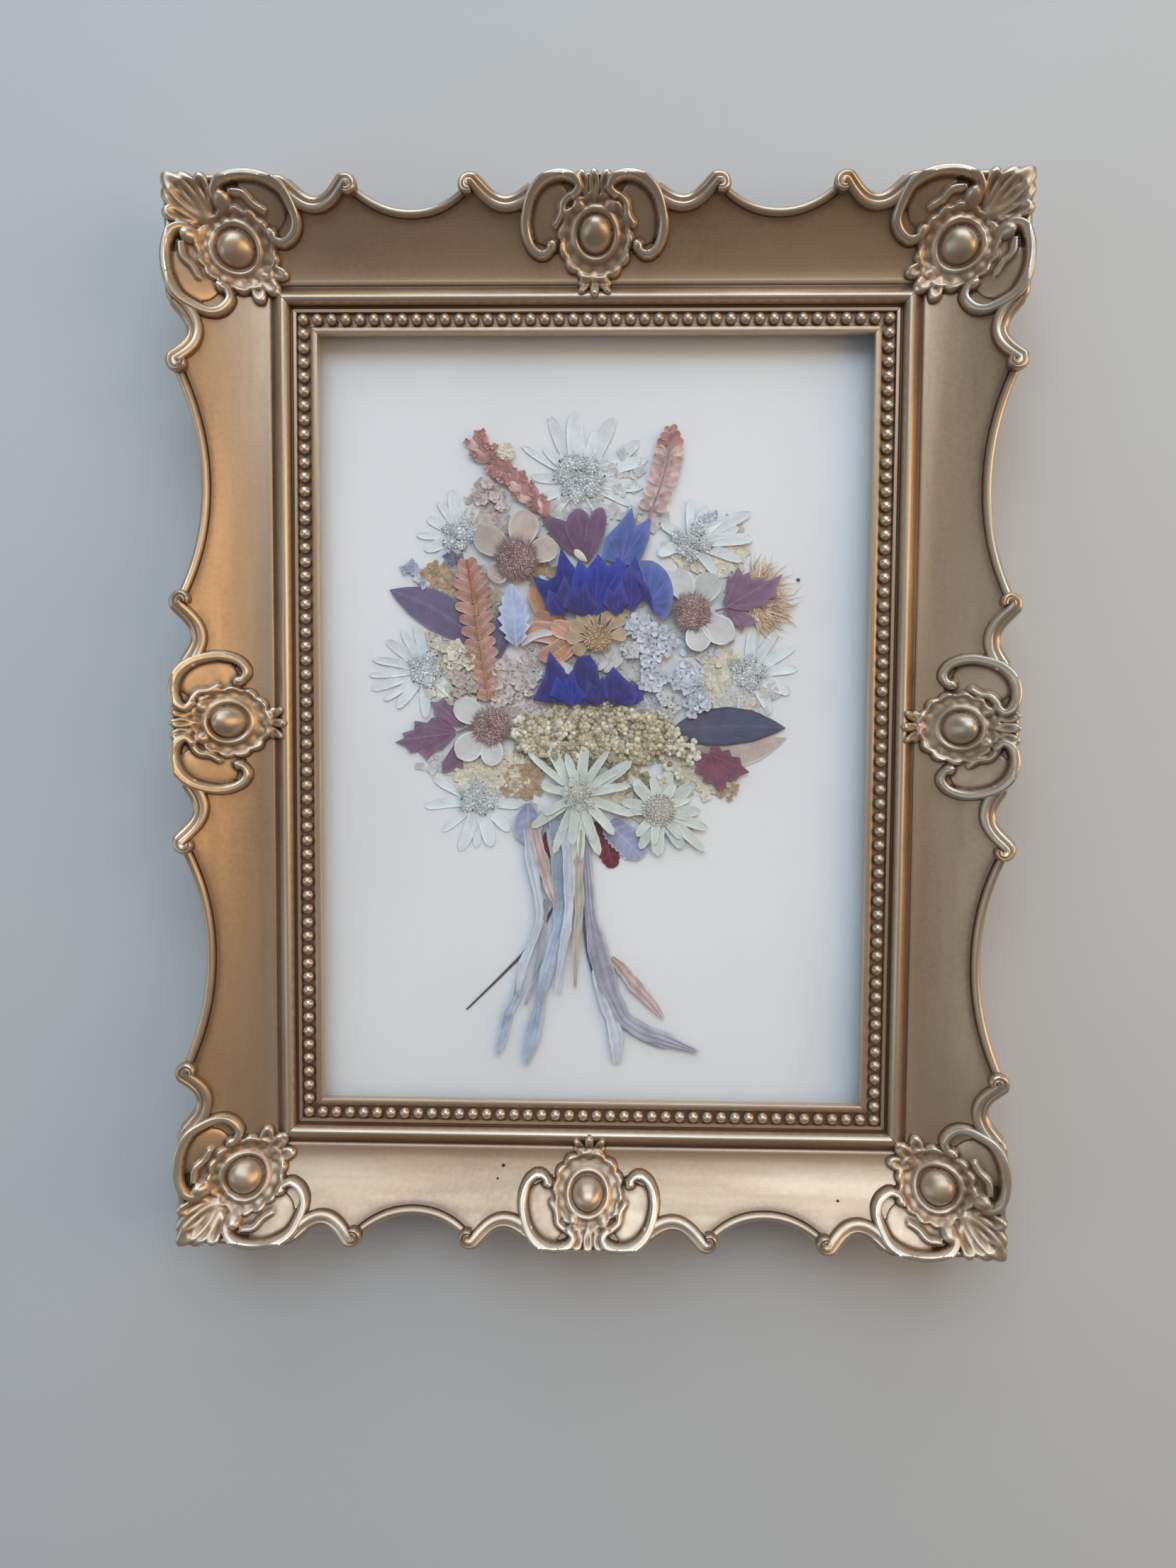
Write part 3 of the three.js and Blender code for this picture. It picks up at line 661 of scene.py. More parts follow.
def centreRelief(x, y):
    # x along the side, y out from the opening; the boss is ringed by a fluted skirt
    boss = (0.2, 18.7)
    parts = [domeRelief(x, y, boss, 3.6, 3.6), skirtRelief(x, y, boss, 4.5, 8.9, 14, 1.8, 0.1)]
    ear = [(-8.9, 17.2), (-9.6, 15.9), (-11.4, 15.2), (-13.4, 16.4), (-14.5, 18.8), (-14.6, 21.6),
           (-13.4, 25.2), (-11.0, 27.7), (-7.6, 28.9), (-4.6, 28.3), (-3.2, 26.6), (-4.3, 25.4)]
    leafEdge = [(-8.2, 20.6), (-7.0, 22.3), (-6.6, 24.2), (-4.8, 25.6)]
    for path in mirrored(ear):
        parts.append(ridgeRelief(x, y, path, [0.75, 1.0, 1.25, 1.2, 1.1, 0.85], 2.3, 0.35))
    for path in mirrored(leafEdge):
        parts.append(ridgeRelief(x, y, path, [0.7, 0.9, 0.8], 1.5))
    for sign in (-1, 1):
        parts += [
            domeRelief(x, y, (9.3 * sign, 16.7), 1.25, 2.2),
            domeRelief(x, y, (9.6 * sign, 22.6), 4.9, 0.55, 1.15),
            lobeRelief(x, y, (1.6 * sign, 25.0), (2.9 * sign, 30.0), 1.35, 1.8, 0.4),
            lobeRelief(x, y, (0.9 * sign, 11.2), (3.3 * sign, 7.6), 1.0, 1.3, 0.3),
            lobeRelief(x, y, (1.2 * sign, 11.0), (3.6 * sign, 9.6), 0.8, 1.0, 0.2),
            domeRelief(x, y, (3.4 * sign, 23.6), 1.5, 1.5),
        ]
    parts += [
        lobeRelief(x, y, (0, 24.2), (0, 30.2), 1.3, 2.1, 0.4),
        lobeRelief(x, y, (0, 11.2), (0, 6.7), 1.15, 1.5, 0.3),
        domeRelief(x, y, (0, 11.0), 1.5, 1.2),
        domeRelief(x, y, (0, 23.4), 5.0, 0.7),
    ]
    return np.max(parts, axis=0)


def cornerRelief(x, y):
    # x and y both run outward from the opening's corner; the two halves mirror each other
    boss = (16.2, 16.2)
    toOpening = (-0.707, -0.707)
    parts = [domeRelief(x, y, boss, 3.9, 3.7), skirtRelief(x, y, boss, 4.9, 9.3, 15, 1.9, 0.0, toOpening)]
    ear = [(8.6, 19.6), (7.9, 18.2), (5.8, 17.6), (3.5, 19.1), (2.6, 21.4), (3.5, 24.6), (5.3, 27.2),
           (9.4, 29.0), (14.0, 29.3), (17.8, 28.1), (19.4, 25.8), (18.2, 24.6)]
    leafEdge = [(9.4, 23.2), (11.4, 24.3), (13.2, 26.0), (15.8, 26.4)]
    for path in mirrored(ear, True):
        parts.append(ridgeRelief(x, y, path, [0.75, 1.0, 1.25, 1.2, 1.1, 0.9], 2.3, 0.35))
    for path in mirrored(leafEdge, True):
        parts.append(ridgeRelief(x, y, path, [0.7, 0.9, 0.7], 1.5))
    for a, b in ((x, y), (y, x)):
        parts += [
            domeRelief(a, b, (8.2, 19.0), 1.3, 2.2),
            domeRelief(a, b, (10.2, 24.0), 5.6, 0.55, 0.85),
            domeRelief(a, b, (18.0, 24.8), 2.1, 2.3),
            lobeRelief(a, b, (12.8, 11.0), (11.6, 5.6), 1.7, 1.5, 0.35),
            lobeRelief(a, b, (20.6, 22.4), (22.0, 30.0), 1.9, 2.0, 0.55),
            lobeRelief(a, b, (20.6, 21.0), (26.4, 30.0), 2.5, 2.1, 0.6),
        ]
    parts += [
        lobeRelief(x, y, (12.2, 12.2), (7.6, 7.6), 1.9, 1.7, 0.3),
        lobeRelief(x, y, (20.6, 20.6), (29.8, 29.8), 2.7, 2.4, 0.6),
        domeRelief(x, y, (19.5, 19.5), 7.5, 0.8),
        domeRelief(x, y, (11.8, 11.8), 1.9, 1.2),
    ]
    return np.max(parts, axis=0)


def softened(field, rounds):
    for _ in range(rounds):
        wide = np.pad(field, 1, mode="edge")
        beside = wide[:-2, 1:-1] + wide[2:, 1:-1] + wide[1:-1, :-2] + wide[1:-1, 2:]
        field = (beside + 4 * wide[1:-1, 1:-1]) / 8
    return field


def carvedCells(keep):
    # grid cells that the relief touches; cells that would meet at one point only are joined
    cells = keep[:-1, :-1] | keep[1:, :-1] | keep[:-1, 1:] | keep[1:, 1:]
    for _ in range(4):
        rising = cells[:-1, :-1] & cells[1:, 1:] & ~cells[1:, :-1] & ~cells[:-1, 1:]
        cells[1:, :-1] |= rising
        falling = cells[1:, :-1] & cells[:-1, 1:] & ~cells[:-1, :-1] & ~cells[1:, 1:]
        cells[:-1, :-1] |= falling
    return cells


def carve(relief, seatReach, wallReach, low, high):
    # a closed shape: relief on top, plain sides, an underside sunk into the moulding
    step = carving["grid"]
    x, y = np.meshgrid(np.arange(low[0], high[0], step), np.arange(low[1], high[1], step), indexing="ij")
    field = relief(x, y)
    gx, gy = np.gradient(softened(field, 1), step)
    keep = field > 0
    cells = carvedCells(keep)
    used = np.zeros_like(keep)
    for rowPart in (slice(None, -1), slice(1, None)):
        for columnPart in (slice(None, -1), slice(1, None)):
            used[rowPart, columnPart] |= cells
    # points outside the outline move onto it
    size = np.maximum(gx**2 + gy**2, 0.2)
    shift = np.where(used & ~keep, np.clip(-field / size, 0, 1.2 * step), 0)
    x, y = x + gx * shift, y + gy * shift
    top = seatHeight(seatReach(x, y)) + carving["plinth"] + softened(np.clip(field, 0, None), 1)
    # crests are paler as wear and painted highlight, hollows darker as glaze and painted shade
    mark = np.clip((top - softened(top, carving["levelRounds"])) * carving["crestGain"], -1, 1) + 0.04
    number = np.full(keep.shape, -1)
    number[used] = np.arange(used.sum())
    corners = number[:-1, :-1], number[1:, :-1], number[1:, 1:], number[:-1, 1:]
    faces = np.column_stack([corner[cells] for corner in corners]).tolist()
    points = np.column_stack([x[used], y[used], np.minimum(top[used], carving["highest"])])
    # walls under the rim of the outline
    edges = {}
    for face in faces:
        for i, j in zip(face, face[1:] + face[:1]):
            if (j, i) in edges:
                del edges[(j, i)]
            else:
                edges[(i, j)] = True
    border = sorted({i for pair in edges for i in pair})
    under = {i: len(points) + k for k, i in enumerate(border)}
    lower = points[border].copy()
    reach = wallReach(lower[:, 0], lower[:, 1])
    sunk = carving["wallFoot"] + (reach - carving["wallFrom"]) * carving["wallSlope"]
    lower[:, 2] = np.where(reach > carving["overRim"], seatHeight(reach) - carving["apron"], sunk)
    points = np.vstack([points, lower])
    # the walls under the edge are darkened as painted shade
    marks = np.concatenate([mark[used], np.full(len(border), -0.7)])
    faces += [[j, i, under[i], under[j]] for i, j in edges]
    return points, closedUnder(points, faces), marks


def closedUnder(points, faces):
    # the faces of a carved shape with its open underside filled
    made = bmesh.new()
    corners = [made.verts.new(p) for p in points]
    for face in faces:
        made.faces.new([corners[i] for i in face])
    made.verts.index_update()
    rim = [e for e in made.edges if e.is_boundary]
    filled = bmesh.ops.triangle_fill(made, edges=rim, use_beauty=True, normal=(0, 0, -1))
    added = [[v.index for v in f.verts] for f in filled["geom"] if isinstance(f, bmesh.types.BMFace)]
    made.free()
    return faces + added


def makeCasting(name, place, points, faces, marks):
    shape = Shape()
    shape.add(points, faces, marks)
    makePiece(name + "Cast_" + place, shape, [giltCast], "gilt_composition", [name + "_" + place],
              carving["sharpAngle"])


centrePoints, centreFaces, centreMarks = carve(
    centreRelief, reachAlongSide, reachAlongSide, (-16.5, 5.5), (16.6, 31.4))
cornerPoints, cornerFaces, cornerMarks = carve(
    cornerRelief, roundedReach, np.maximum, (0.8, 0.8), (31.4, 31.4))
cornerPlaces = {"top_left": (-1, 1), "top_right": (1, 1), "bottom_left": (-1, -1), "bottom_right": (1, -1)}
for sideName, (turns, half, distance) in sidePlaces.items():
    placed = turned(centrePoints + [0, distance, 0], turns)
    makeCasting("ornament", sideName, placed, centreFaces, centreMarks)
for cornerName, (sx, sy) in cornerPlaces.items():
    placed = (cornerPoints + [rail["sightWidth"] / 2, rail["sightHeight"] / 2, 0]) * [sx, sy, 1]
    faces = cornerFaces if sx * sy > 0 else [f[::-1] for f in cornerFaces]
    makeCasting("corner", cornerName, placed, faces, cornerMarks)
print("ornaments made")


# glass, card, board and fittings
def dress(node, material):
    # a part whose CAD shape is right keeps it and gets its finish
    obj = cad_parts[node]
    obj.data.materials.clear()
    obj.data.materials.append(material)


backLooks = {
    "cardShade": (0.68, 0.66, 0.635), "cardLight": (0.73, 0.71, 0.685), "cardRoughness": 0.85,
    "boardFlecks": [(0.3, (0.14, 0.085, 0.045)), (0.55, (0.25, 0.16, 0.09)), (0.75, (0.36, 0.25, 0.15))],
    "boardRoughness": 0.82,
    "tabSteel": ((0.62, 0.61, 0.59), (0.42, 0.41, 0.40)),
    "hangerBrass": ((0.66, 0.52, 0.28), (0.45, 0.33, 0.16)),
    "glassIOR": 1.5,
}


def cardMaterial():
    material, tree, shader = newMaterial("cardWhite")
    cloud = addRange(tree, addNoise(tree, 14, 3), 0.35, 0.65)
    tone = addMix(tree, cloud, backLooks["cardShade"], backLooks["cardLight"])
    finishShader(tree, shader, {"Base Color": tone, "Roughness": backLooks["cardRoughness"]})
    addBump(tree, shader, addNoise(tree, 2600, 3, 0.6), 0.12, 0.00004)
    return material


def boardMaterial():
    material, tree, shader = newMaterial("boardBrown")
    flecks = addNoise(tree, 700, 5, 0.7, (1, 3, 1))
    tone = addRamp(tree, flecks, backLooks["boardFlecks"])
    finishShader(tree, shader, {"Base Color": tone, "Roughness": backLooks["boardRoughness"]})
    addBump(tree, shader, flecks, 0.35, 0.0002)
    return material


def sheetMetal(name):
    material, tree, shader = newMaterial(name)
    grain = addNoise(tree, 500, 4, 0.6, (1, 12, 1))
    tone = addMix(tree, addRange(tree, grain, 0.35, 0.7), *backLooks[name])
    rough = addRange(tree, grain, 0.3, 0.7, 0.28, 0.45)
    finishShader(tree, shader, {"Base Color": tone, "Metallic": 1, "Roughness": rough})
    addBump(tree, shader, grain, 0.1, 0.00005)
    return material


def glassMaterial():
    # clear to the light's shadow rays, real glass to every other ray
    material, tree, shader = newMaterial("glassClear")
    finishShader(tree, shader, {
        "Base Color": (1, 1, 1, 1), "Transmission Weight": 1, "Roughness": 0, "IOR": backLooks["glassIOR"]})
    clear = addNode(tree, "ShaderNodeBsdfTransparent")
    path = addNode(tree, "ShaderNodeLightPath")
    mix = addNode(tree, "ShaderNodeMixShader")
    tree.links.new(path.outputs["Is Shadow Ray"], mix.inputs[0])
    tree.links.new(shader.outputs["BSDF"], mix.inputs[1])
    tree.links.new(clear.outputs["BSDF"], mix.inputs[2])
    tree.links.new(mix.outputs["Shader"], tree.nodes["Material Output"].inputs["Surface"])
    return material


dress("card", cardMaterial())
dress("glass", glassMaterial())
dress("backing_board", boardMaterial())
tabSteel = sheetMetal("tabSteel")
for node in ("tab_top", "tab_bottom", "tab_left", "tab_right"):
    dress(node, tabSteel)
dress("hanger", sheetMetal("hangerBrass"))
print("glass, card and back dressed")


# finishes of the pressed plants
plantGrain = {"patches": 330, "specks": 2400, "fine": 1500, "feltFine": 3200, "bumpHeight": 0.00006}


def plantMaterial(name, main, edge, base, vein=None, veinShare=0.5, mottle=0.18, rough=0.75, felt=0.0,
                  edgeStart=0.7):
    # colour runs from the base to the tip, pales or darkens at the margin and follows the veins
    material, tree, shader = newMaterial(name)
    mark = {}
    for key in markNames:
        mark[key] = addNode(tree, "ShaderNodeAttribute", attribute_name=key).outputs["Fac"]
    tone = addMix(tree, addRange(tree, mark["along"], 0.0, 0.45), base, main)
    tone = addMix(tree, addRange(tree, mark["relief"], edgeStart, 1.0), tone, edge)
    if vein:
        tone = addMix(tree, addMath(tree, "MULTIPLY", mark["vein"], veinShare), tone, vein)
    patches = addRange(tree, addNoise(tree, plantGrain["patches"], 4, 0.6), 0.3, 0.7, -mottle, mottle)
    specks = addNoise(tree, plantGrain["specks"], 2, 0.5)
    specks = addRange(tree, specks, 0.3, 0.7, -mottle * 0.5, mottle * 0.5)
    light = addMath(tree, "ADD", patches, specks)
    light = addMath(tree, "ADD", light, addMath(tree, "MULTIPLY", mark["shade"], mottle))
    light = addMath(tree, "ADD", light, 1.0)
    scaled = addNode(tree, "ShaderNodeVectorMath", operation="SCALE")
    tree.links.new(tone, scaled.inputs["Vector"])
    tree.links.new(light, scaled.inputs["Scale"])
    finishShader(tree, shader, {
        "Base Color": scaled.outputs["Vector"], "Roughness": rough, "Specular IOR Level": 0.25})
    if felt:
        finishShader(tree, shader, {"Sheen Weight": felt, "Sheen Roughness": 0.6})
    fine = addNoise(tree, plantGrain["feltFine" if felt else "fine"], 3, 0.65)
    addBump(tree, shader, fine, 0.5 if felt else 0.3, plantGrain["bumpHeight"])
    return material


finishColours = {
    # middle, margin, base, veins, vein share, mottle, roughness, felt, where the margin starts
    "feltWhite": (
        (0.53, 0.55, 0.48), (0.64, 0.66, 0.6), (0.38, 0.4, 0.33), (0.5, 0.52, 0.45), 0.4, 0.1, 0.95, 0.6),
    "feltPale": (
        (0.62, 0.64, 0.62), (0.7, 0.71, 0.69), (0.5, 0.52, 0.5), (0.56, 0.58, 0.56), 0.4, 0.08, 0.95, 0.6),
    "feltHeart": ((0.5, 0.51, 0.45), (0.66, 0.66, 0.6), (0.34, 0.34, 0.28), None, 0, 0.3, 0.95, 0.4, 0.4),
    "greyHeart": ((0.49, 0.5, 0.5), (0.62, 0.63, 0.62), (0.4, 0.4, 0.39), None, 0, 0.3, 0.95, 0.4, 0.4),
    "buffHeart": ((0.5, 0.49, 0.42), (0.66, 0.64, 0.57), (0.34, 0.31, 0.25), None, 0, 0.25, 0.95, 0.3, 0.4),
    "brownHeart": (
        (0.27, 0.17, 0.15), (0.42, 0.28, 0.24), (0.17, 0.09, 0.08), None, 0, 0.3, 0.95, 0.3, 0.4),
    "tanHeart": ((0.42, 0.27, 0.14), (0.52, 0.37, 0.21), (0.25, 0.14, 0.07), None, 0, 0.25, 0.9, 0.2, 0.4),
    "beigePetal": (
        (0.46, 0.375, 0.315), (0.58, 0.51, 0.455), (0.36, 0.24, 0.2), (0.42, 0.31, 0.26),
        0.5, 0.12, 0.6, 0, 0.78),
    "whitePetal": (
        (0.51, 0.49, 0.47), (0.68, 0.67, 0.64), (0.44, 0.37, 0.31), (0.52, 0.48, 0.43),
        0.5, 0.1, 0.55, 0, 0.8),
    "creamPetal": (
        (0.63, 0.57, 0.44), (0.72, 0.67, 0.55), (0.46, 0.38, 0.26), (0.5, 0.44, 0.32), 0.5, 0.15, 0.7),
    "heatherCoral": (
        (0.39, 0.19, 0.16), (0.49, 0.28, 0.235), (0.28, 0.12, 0.11), (0.32, 0.14, 0.12), 0.5, 0.25, 0.7),
    "heatherPale": (
        (0.55, 0.36, 0.32), (0.64, 0.48, 0.44), (0.36, 0.2, 0.19), (0.4, 0.22, 0.2), 0.4, 0.2, 0.7),
    "salmonFrond": (
        (0.42, 0.24, 0.19), (0.53, 0.34, 0.26), (0.32, 0.15, 0.1), (0.3, 0.13, 0.09), 0.7, 0.18, 0.75),
    "plumLeaf": (
        (0.135, 0.105, 0.175), (0.2, 0.165, 0.25), (0.1, 0.07, 0.11), (0.22, 0.18, 0.26),
        0.45, 0.14, 0.6, 0, 0.9),
    "purplePetal": (
        (0.13, 0.065, 0.115), (0.19, 0.11, 0.17), (0.08, 0.035, 0.07), (0.18, 0.1, 0.17),
        0.5, 0.18, 0.6, 0, 0.85),
    "cornflowerDeep": (
        (0.013, 0.018, 0.18), (0.032, 0.045, 0.28), (0.022, 0.013, 0.09), (0.042, 0.06, 0.29),
        0.5, 0.25, 0.6),
    "cornflowerViolet": (
        (0.024, 0.015, 0.12), (0.052, 0.044, 0.21), (0.02, 0.011, 0.06), (0.052, 0.046, 0.22),
        0.5, 0.25, 0.6),
    "floretBlue": (
        (0.06, 0.086, 0.26), (0.12, 0.155, 0.35), (0.1, 0.07, 0.25), (0.16, 0.17, 0.42), 0.5, 0.18, 0.6),
    "silverLeaf": (
        (0.36, 0.4, 0.55), (0.5, 0.53, 0.66), (0.25, 0.26, 0.35), (0.55, 0.57, 0.68), 0.5, 0.12, 0.7),
    "lavenderLeaf": (
        (0.3, 0.3, 0.41), (0.5, 0.51, 0.6), (0.18, 0.17, 0.26), (0.42, 0.42, 0.54),
        0.6, 0.14, 0.65, 0, 0.85),
    "orangePetal": (
        (0.4, 0.22, 0.125), (0.52, 0.31, 0.2), (0.26, 0.08, 0.03), (0.33, 0.11, 0.04), 0.5, 0.22, 0.65),
    "peachPetal": (
        (0.43, 0.23, 0.16), (0.58, 0.41, 0.34), (0.34, 0.15, 0.08), (0.38, 0.19, 0.12), 0.5, 0.18, 0.65),
    "tanPetal": (
        (0.39, 0.28, 0.175), (0.5, 0.38, 0.26), (0.3, 0.17, 0.08), (0.34, 0.2, 0.1), 0.5, 0.16, 0.7),
    "greyFloret": (
        (0.5, 0.5, 0.54), (0.66, 0.66, 0.69), (0.28, 0.27, 0.3), (0.4, 0.4, 0.44), 0.5, 0.22, 0.8, 0.3),
    "pinkFloret": (
        (0.52, 0.43, 0.39), (0.63, 0.56, 0.53), (0.32, 0.22, 0.19), (0.4, 0.3, 0.27), 0.5, 0.2, 0.8, 0.3),
    "maroonLeaf": (
        (0.185, 0.1, 0.155), (0.235, 0.14, 0.2), (0.1, 0.045, 0.06), (0.27, 0.17, 0.22),
        0.5, 0.2, 0.65, 0, 0.85),
    "wineLeaf": (
        (0.195, 0.066, 0.1), (0.235, 0.1, 0.14), (0.1, 0.02, 0.035), (0.28, 0.11, 0.14),
        0.45, 0.2, 0.65, 0, 0.85),
    "slateLeaf": (
        (0.068, 0.072, 0.115), (0.028, 0.045, 0.062), (0.1, 0.08, 0.12), (0.12, 0.11, 0.16),
        0.5, 0.16, 0.55, 0, 0.8),
    "redLeaf": (
        (0.125, 0.013, 0.027), (0.19, 0.03, 0.05), (0.09, 0.01, 0.015), (0.28, 0.07, 0.07), 0.5, 0.2, 0.55),
    "umbelCream": ((0.37, 0.305, 0.19), (0.46, 0.395, 0.27), (0.27, 0.21, 0.11), None, 0, 0.35, 0.85),
    "umbelPale": ((0.54, 0.5, 0.38), (0.65, 0.62, 0.52), (0.38, 0.34, 0.22), None, 0, 0.22, 0.85),
    "darkBit": ((0.07, 0.06, 0.06), (0.12, 0.1, 0.09), (0.04, 0.03, 0.03), None, 0, 0.3, 0.8),
    "peachPale": (
        (0.66, 0.55, 0.44), (0.7, 0.61, 0.52), (0.56, 0.43, 0.32), (0.46, 0.34, 0.22), 0.5, 0.16, 0.75),
    "fibreTan": ((0.7, 0.53, 0.37), (0.75, 0.6, 0.46), (0.56, 0.38, 0.24), None, 0, 0.25, 0.8),
    "woolWhite": ((0.7, 0.72, 0.68), (0.74, 0.75, 0.72), (0.62, 0.64, 0.6), None, 0, 0.08, 0.95),
    "stemGrey": (
        (0.34, 0.32, 0.37), (0.46, 0.45, 0.5), (0.27, 0.25, 0.3), (0.22, 0.2, 0.26),
        0.6, 0.16, 0.75, 0.2, 0.5),
    "stemBlue": (
        (0.36, 0.41, 0.48), (0.5, 0.54, 0.6), (0.24, 0.27, 0.32), (0.25, 0.28, 0.36),
        0.6, 0.16, 0.75, 0.2, 0.5),
    "stemPale": (
        (0.52, 0.54, 0.57), (0.6, 0.62, 0.65), (0.44, 0.45, 0.47), (0.42, 0.43, 0.47),
        0.6, 0.1, 0.7, 0.2, 0.5),
    "stemTan": (
        (0.46, 0.39, 0.32), (0.55, 0.5, 0.43), (0.38, 0.29, 0.19), (0.34, 0.27, 0.2),
        0.6, 0.14, 0.7, 0.1, 0.5),
    "stemSalmon": (
        (0.5, 0.38, 0.34), (0.57, 0.47, 0.44), (0.42, 0.28, 0.22), (0.36, 0.24, 0.21),
        0.6, 0.14, 0.75, 0.1, 0.5),
    "stemDark": ((0.1, 0.065, 0.07), (0.16, 0.11, 0.11), (0.07, 0.045, 0.05), None, 0, 0.2, 0.8),
}
finish = {name: plantMaterial(name, *colours) for name, colours in finishColours.items()}


# ways of making pressed plant parts
# places along a blade from its base to its tip, and the share of the half width there
outlines = {
    "lance": ([0, 0.12, 0.4, 0.7, 0.88, 0.97, 1], [0.42, 0.7, 1, 0.82, 0.5, 0.22, 0.04]),
    "strap": ([0, 0.1, 0.35, 0.75, 0.92, 0.98, 1], [0.6, 0.85, 1, 0.92, 0.66, 0.34, 0.06]),
    "round": ([0, 0.12, 0.35, 0.6, 0.8, 0.93, 1], [0.18, 0.5, 0.88, 1, 0.86, 0.52, 0.06]),
    "leaf": ([0, 0.1, 0.3, 0.5, 0.72, 0.9, 1], [0.05, 0.5, 0.92, 1, 0.8, 0.36, 0.02]),
    "wedge": ([0, 0.3, 0.6, 0.78, 0.9, 1], [0.12, 0.4, 0.85, 1, 0.75, 0.1]),
}
skin = 0.09    # thickness of a pressed petal or leaf


def closedSheet(shape, top, marks, finishIndex):
    # a thin closed slab from a grid of points, rows by columns
    rows, columns = top.shape[:2]
    low = top - [0, 0, skin]
    points = np.concatenate([top.reshape(-1, 3), low.reshape(-1, 3)])
    n = rows * columns
    upper = [face[::-1] for face in gridFaces(rows, columns)]
    lower = [[a + n for a in face] for face in gridFaces(rows, columns)]
    number = np.arange(n).reshape(rows, columns)
    ring = np.concatenate([number[0, :-1], number[:-1, -1], number[-1, :0:-1], number[:0:-1, 0]]).tolist()
    walls = [[a, a + n, b + n, b] for a, b in zip(ring, ring[1:] + ring[:1])]
    shape.add(points, upper + lower + walls, np.tile(marks, (2, 1)), finishIndex)


def blade(shape, base, tip, halfWidth, z, outline="lance", finishIndex=0, lift=0.0, cup=0.0, bendSide=0.0,
          teeth=0, toothDepth=0.0, wave=0.0, veins=0, shade=0.0, rows=14, columns=9):
    # one petal or leaf from its base to its tip
    base, tip = np.array(base, float), np.array(tip, float)
    run = tip - base
    length = np.linalg.norm(run)
    along, across = run / length, leftOf(run) / length
    if teeth:
        rows = max(rows, teeth * 4 + 1)
    t = np.linspace(0, 1, rows)[:, None]
    w = np.linspace(-1, 1, columns)[None, :]
    share = np.interp(t, *outlines[outline])
    half = halfWidth * share
    if teeth:
        saw = (t * teeth) % 1.0
        half = half + halfWidth * toothDepth * share**0.5 * (saw - 0.35) * abs(w)**4
    side = half * w + bendSide * np.sin(math.pi * t * 0.9) * length * 0.5
    x = base[0] + along[0] * length * t + across[0] * side
    y = base[1] + along[1] * length * t + across[1] * side
    ripple = wave * np.sin(t * 9 + w * 2.2 + shade * 5) * (0.3 + abs(w))
    rise = lift * t + cup * (w**2) * share + ripple
    midrib = np.exp(-(half * w / max(0.12, halfWidth * 0.07))**2)
    vein = midrib
    if veins:
        phase = (t * veins - abs(w) * 0.9 + 0.5) % 1.0
        vein = np.maximum(midrib, 0.75 * np.exp(-((phase - 0.5) / 0.16)**2) * (1 - abs(w)**3))
    height = z + rise + 0.035 * vein
    top = np.stack([x + 0 * w, y + 0 * w, height + 0 * w], -1)
    marks = np.stack([abs(w) + 0 * t, t + 0 * w, shade + 0 * t * w, vein + 0 * w], -1)
    closedSheet(shape, top, marks.reshape(-1, 4), finishIndex)


def beads(shape, rng, places, radii, finishIndex, squash=0.7, around=6, rings=4):
    # many small round bodies: florets, buds, anther heads
    for place, radius in zip(places, radii):
        points, faces = ballShape((0, 0, 0), radius, around, rings, squash)
        # each ball takes its base colour low down and its margin colour on top: painted shade below, painted
        # highlight on top
        high = np.clip(points[:, 2] / (radius * squash), 0, 1)
        tone = np.full(len(points), rng.uniform(-1, 1))
        shape.add(points + place, faces, np.column_stack([high, high, tone, 0 * tone]), finishIndex)


goldenAngle = 2.39996


def scatter(rng, centre, radius, count, stretch=1.0, even=0.55):
    # places spread over a disc like seeds in a flower head
    k = np.arange(count) + 0.5
    r = radius * np.sqrt(k / count)
    a = k * goldenAngle + rng.uniform(0, 6.28)
    jitter = rng.uniform(-1, 1, (count, 2)) * radius / math.sqrt(count) * even
    return np.column_stack([centre[0] + r * np.cos(a), centre[1] + r * np.sin(a) * stretch]) + jitter


def disc(shape, rng, centre, radius, z, height, count, bump, finishIndex, stretch=1.0):
    # a domed flower centre covered in tiny florets
    points, faces = ballShape((centre[0], centre[1], z), radius * 0.96, 18, 7, height / radius)
    points[:, 2] = np.maximum(points[:, 2], z - 0.12)
    shape.add(points, faces, np.zeros(len(points)), finishIndex)
    flat = scatter(rng, centre, radius, count, stretch)
    far = np.clip(np.hypot(*(flat - centre).T) / radius, 0, 1)
    places = np.column_stack([flat, z + height * np.sqrt(np.clip(1 - far**2, 0, 1)) * 0.9])
    beads(shape, rng, places, bump * rng.uniform(0.7, 1.25, count), finishIndex, 0.9)


def strand(shape, path, widths, z, finishIndex=0, flat=0.45, steps=6, around=10):
    # a stem or stalk: a ribbed oval tube along a smooth path
    line = smoothLine(path, steps)
    n = len(line)
    share = np.linspace(0, 1, n)
    w = evenly(share, widths)
    direction = headings(line)
    normal = np.stack([-direction[:, 1], direction[:, 0]], -1)
    a = np.linspace(0, 2 * math.pi, around, endpoint=False)
    rib = 1 + 0.12 * np.cos(3 * a)
    points = np.zeros((n, around, 3))
    points[:, :, :2] = line[:, None] + normal[:, None] * (w[:, None] * np.cos(a) * rib)[:, :, None] / 2
    points[:, :, 2] = z + w[:, None] * flat * np.sin(a) * rib / 2
    marks = np.zeros((n, around, 4))
    marks[:, :, 0] = abs(np.cos(a))
    marks[:, :, 1] = share[:, None]
    marks[:, :, 3] = np.cos(3 * a) < -0.3
    shape.add(points, [f[::-1] for f in tubeFaces(n, around)], marks, finishIndex)


